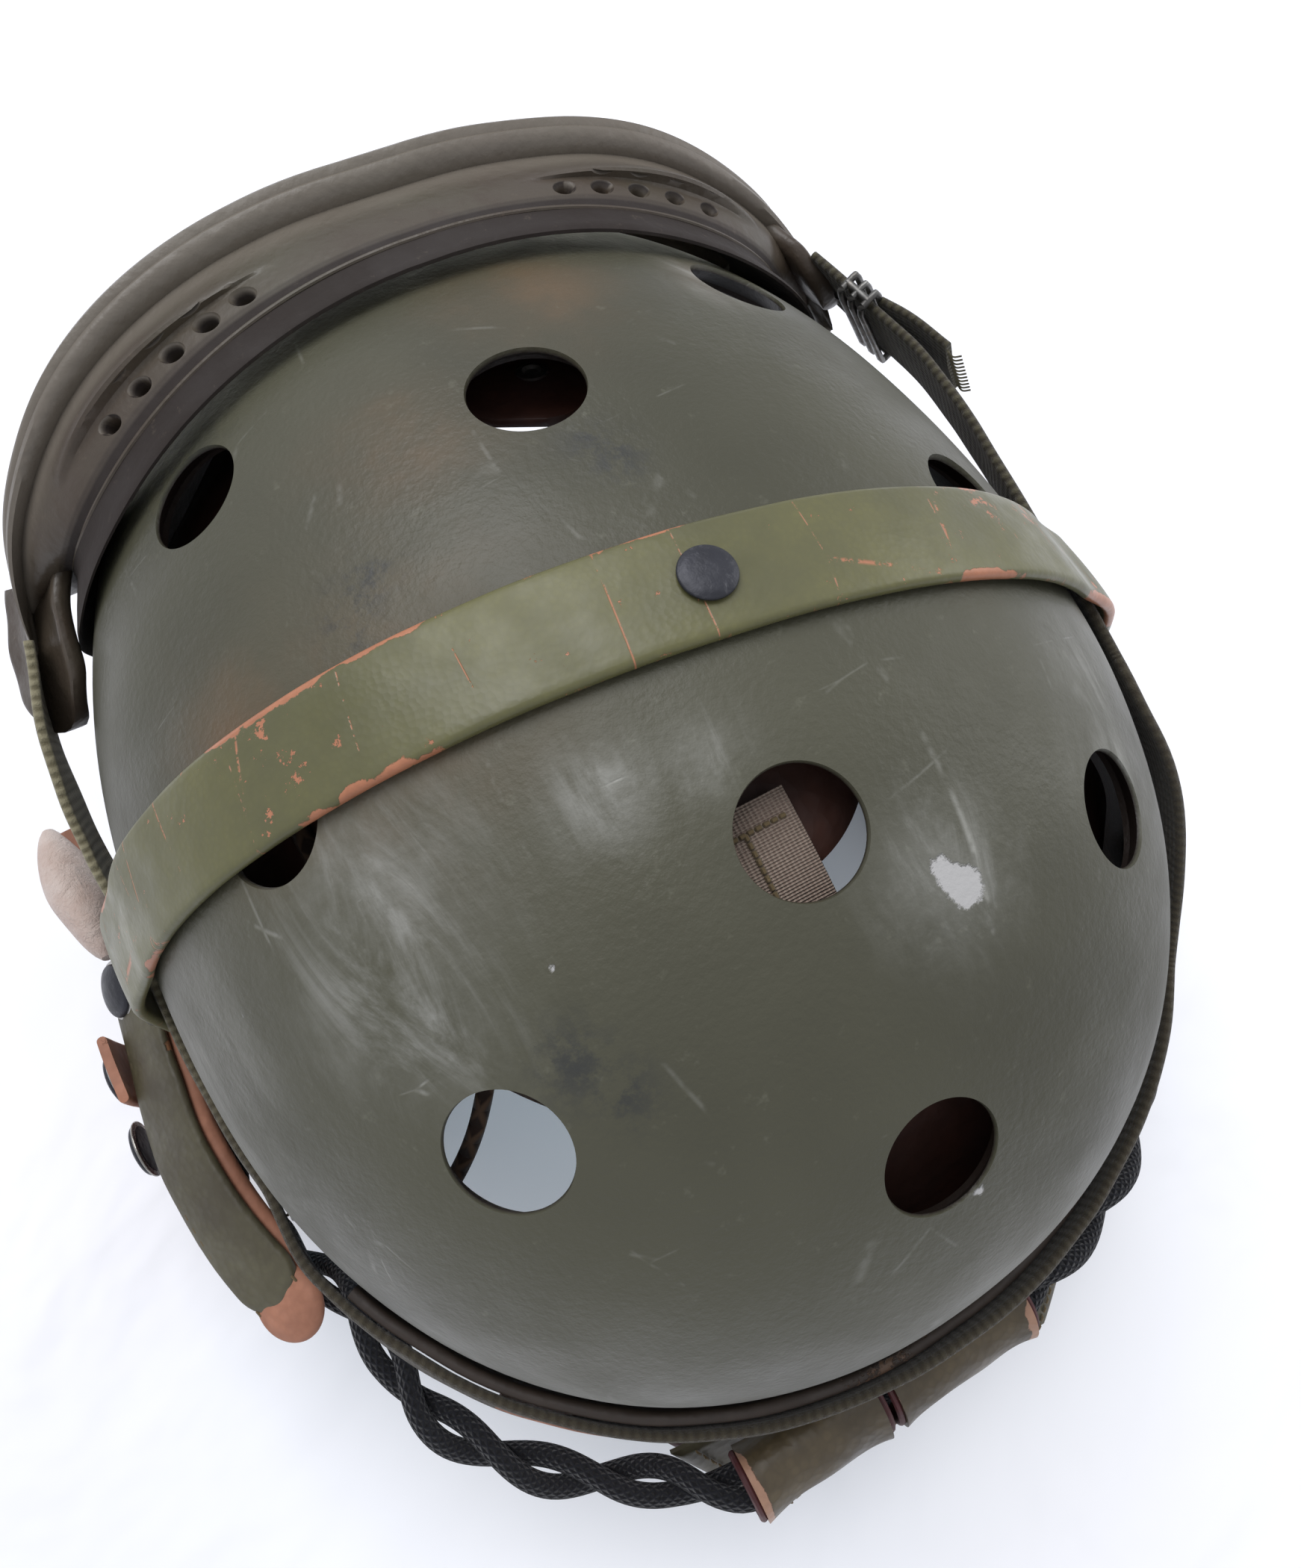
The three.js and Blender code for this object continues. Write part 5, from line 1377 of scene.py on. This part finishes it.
def add_cheek_pad(side, name, body):
    """The stuffed pad in front of the flap, and the rolled leather along its edge."""
    flip = np.array([side, 1.0, 1.0])
    around = np.linspace(0, 2 * math.pi, 30, endpoint=False)
    rings = []
    for t in np.linspace(0, 1, 26):
        centre = np.array([lerp(125.2, 127.4, t), lerp(33, 70, t), -24.0])
        swell = max(0.05, math.sin(math.pi * lerp(0.02, 0.98, t)))**0.55
        spread = np.stack([6.2 * swell * np.cos(around), 0 * around, 8.4 * swell * np.sin(around)], 1)
        rings.append((centre + spread) * flip)
    rings = np.array(rings)
    rings += unit(rings - rings.mean(axis=(0, 1))) * ripple(rings, 13, side).reshape(rings.shape[:2])[...,
        None]
    cushion = piece(f"{name}_cheek_cushion", *loft(rings), CHAMOIS, body, f"{name}_cheek_pad")
    edge = spline(np.array([(122.5, 34, -25), (121.6, 44, -26.5), (121.8, 56, -26.5),
                            (123.6, 68, -25)]) * flip, 40)
    ribbon(f"{name}_cushion_edge", edge, np.array([-0.3 * side, 0, 1.0]) + 0 * edge, 8, 2.0, TAN, body,
           curl=1.4, wobble=0.6)


def add_plate_and_snaps(side, name, body):
    flip = np.array([side, 1.0, 1.0])
    plate = spline(np.array(FLAP_PLATE) * flip, 50)
    along = tangents(plate)
    out = unit(np.stack([-along[:, 1], along[:, 0], 0 * along[:, 0]], 1))
    ribbon(f"{name}_plate_leather", plate, out, 13, 2.2, MAROON, body, f"{name}_flap_plate",
           crown=0.3, wobble=0.3, round_end=True)
    for where, position, way in (
        ("front", (125.4, 24, -24), (0.79, 0, 0.62)), ("tab", (135.9, 8, -38), (1, 0, 0)),
        ("rear", (136.8, -10, -40), (1, 0, 0)),
    ):
        snap_cap(f"{name}_{where}_cap", np.array(position) * flip, np.array(way) * flip, 6.5,
                 f"{name}_{where}_snap", body)


def add_ear_flap(side, name):
    for add in (add_flap_sheets, add_receiver, add_spring_arm, add_cheek_pad, add_plate_and_snaps):
        add(side, name, f"{name}_ear_flap")


# Neck flap ----------------------------------------------------------------------------------------
def neck_point(u, v, offset):
    half = lerp(58, 41, v)
    x = lerp(-half, half, u)
    y = lerp(-130.5, -156, v) + 5 * (x / 58)**2 * (1 - v)
    z = lerp(-31, -68, v) + 5 * np.abs(2 * u - 1)**3 * v
    return np.stack([x, y - 0.82 * offset, z + 0.57 * offset], -1)


def add_sleeve(name, start, end):
    """A leather sleeve across the neck flap, flared and worn at its ends, with a maroon hem at each."""
    along, away = np.array([0, -0.57, -0.82]), np.array([0, -0.82, 0.57])
    rows, around = 34, 56
    angle = np.linspace(0, 2 * math.pi, around, endpoint=False)[:, None]
    rings, edge = [], []
    for t in np.linspace(0, 1, rows):
        flare = 0.9 * (2 * t - 1)**4
        centre = np.array([lerp(start, end, t), SLEEVE_Y, SLEEVE_Z])
        rings.append(centre + (9.1 + flare) * np.cos(angle) * along + (6.9 + flare) * np.sin(angle) * away)
        edge.append(np.full(around, float(smoothstep(0.8, 1.0, abs(2 * t - 1)))))
    outer = np.array(rings)
    lumps = ripple(outer, 11, start).reshape(rows, around)[..., None] * 0.55
    outer += unit(outer - outer.mean(1, keepdims=True)) * lumps
    inner = outer.mean(1, keepdims=True) + (outer - outer.mean(1, keepdims=True)) * 0.79
    points, faces = loft(np.concatenate([outer, inner[::-1]]), loop=True)
    piece(f"{name}_sleeve_leather", points, faces, SLEEVE, "neck_flap_body", f"{name}_cord_sleeve",
          sharp=50, edge=np.concatenate([*edge, *edge[::-1]]))
    for k, x in enumerate((start - 0.6, end + 0.6)):
        hem = np.array([x, SLEEVE_Y, SLEEVE_Z]) + 8.3 * np.cos(angle) * along + 6.2 * np.sin(angle) * away
        tube(f"{name}_sleeve_hem_{k}", hem, 0.9, MAROON, "neck_flap_body", sides=8, loop=True)


def add_neck_flap():
    for label, node, start, thick, finish in (
        ("neck_flap_leather", "neck_flap", 0.1, 2.4, OLIVE),
        ("neck_flap_inner", "neck_flap_lining", -2.7, 2.2, MAROON),
    ):
        slab(label, lambda u, v: neck_point(u, v, start), thick, finish, "neck_flap_body", node,
             wobble=0.4, steps=(80, 36))
    path = seam_round(neck_point, 0.04, 0.95, 3.0, 170)
    stitches("neck_flap_seam", path, np.array([0, -0.82, 0.57]), "neck_flap_body")
    add_sleeve("left", -46, -14)
    add_sleeve("right", -10, 26)
    for name, start, end in (("left", 229, 246), ("right", 311, 328)):
        level_ribbon(f"{name}_keeper_leather", start, end, -23, -10, 7.7, 2.3, TAN, f"{name}_lead_keeper",
                     wobble=0.4)


# Everything ---------------------------------------------------------------------------------------
def add_floor():
    half, rows = 1.6, 80
    x, y = np.meshgrid(np.linspace(-half, half, rows), np.linspace(-half, half, rows), indexing="ij")
    mesh = bpy.data.meshes.new("floor")
    mesh.from_pydata(np.stack([x, y, np.zeros_like(x)], -1).reshape(-1, 3).tolist(), [],
                     grid_faces(rows, rows))
    mesh.polygons.foreach_set("use_smooth", [True] * len(mesh.polygons))
    mesh.materials.append(floor_cloth())
    floor = bpy.data.objects.new("floor", mesh)
    bpy.context.scene.collection.objects.link(floor)


add_camera()
add_surroundings()
add_floor()
add_lead()
add_shell()
add_shell_bands()
add_suspension()
add_crown_strap()
add_goggle_strap()
add_strap_slide()
add_goggles()
add_ear_flap(1, "right")
add_ear_flap(-1, "left")
add_neck_flap()
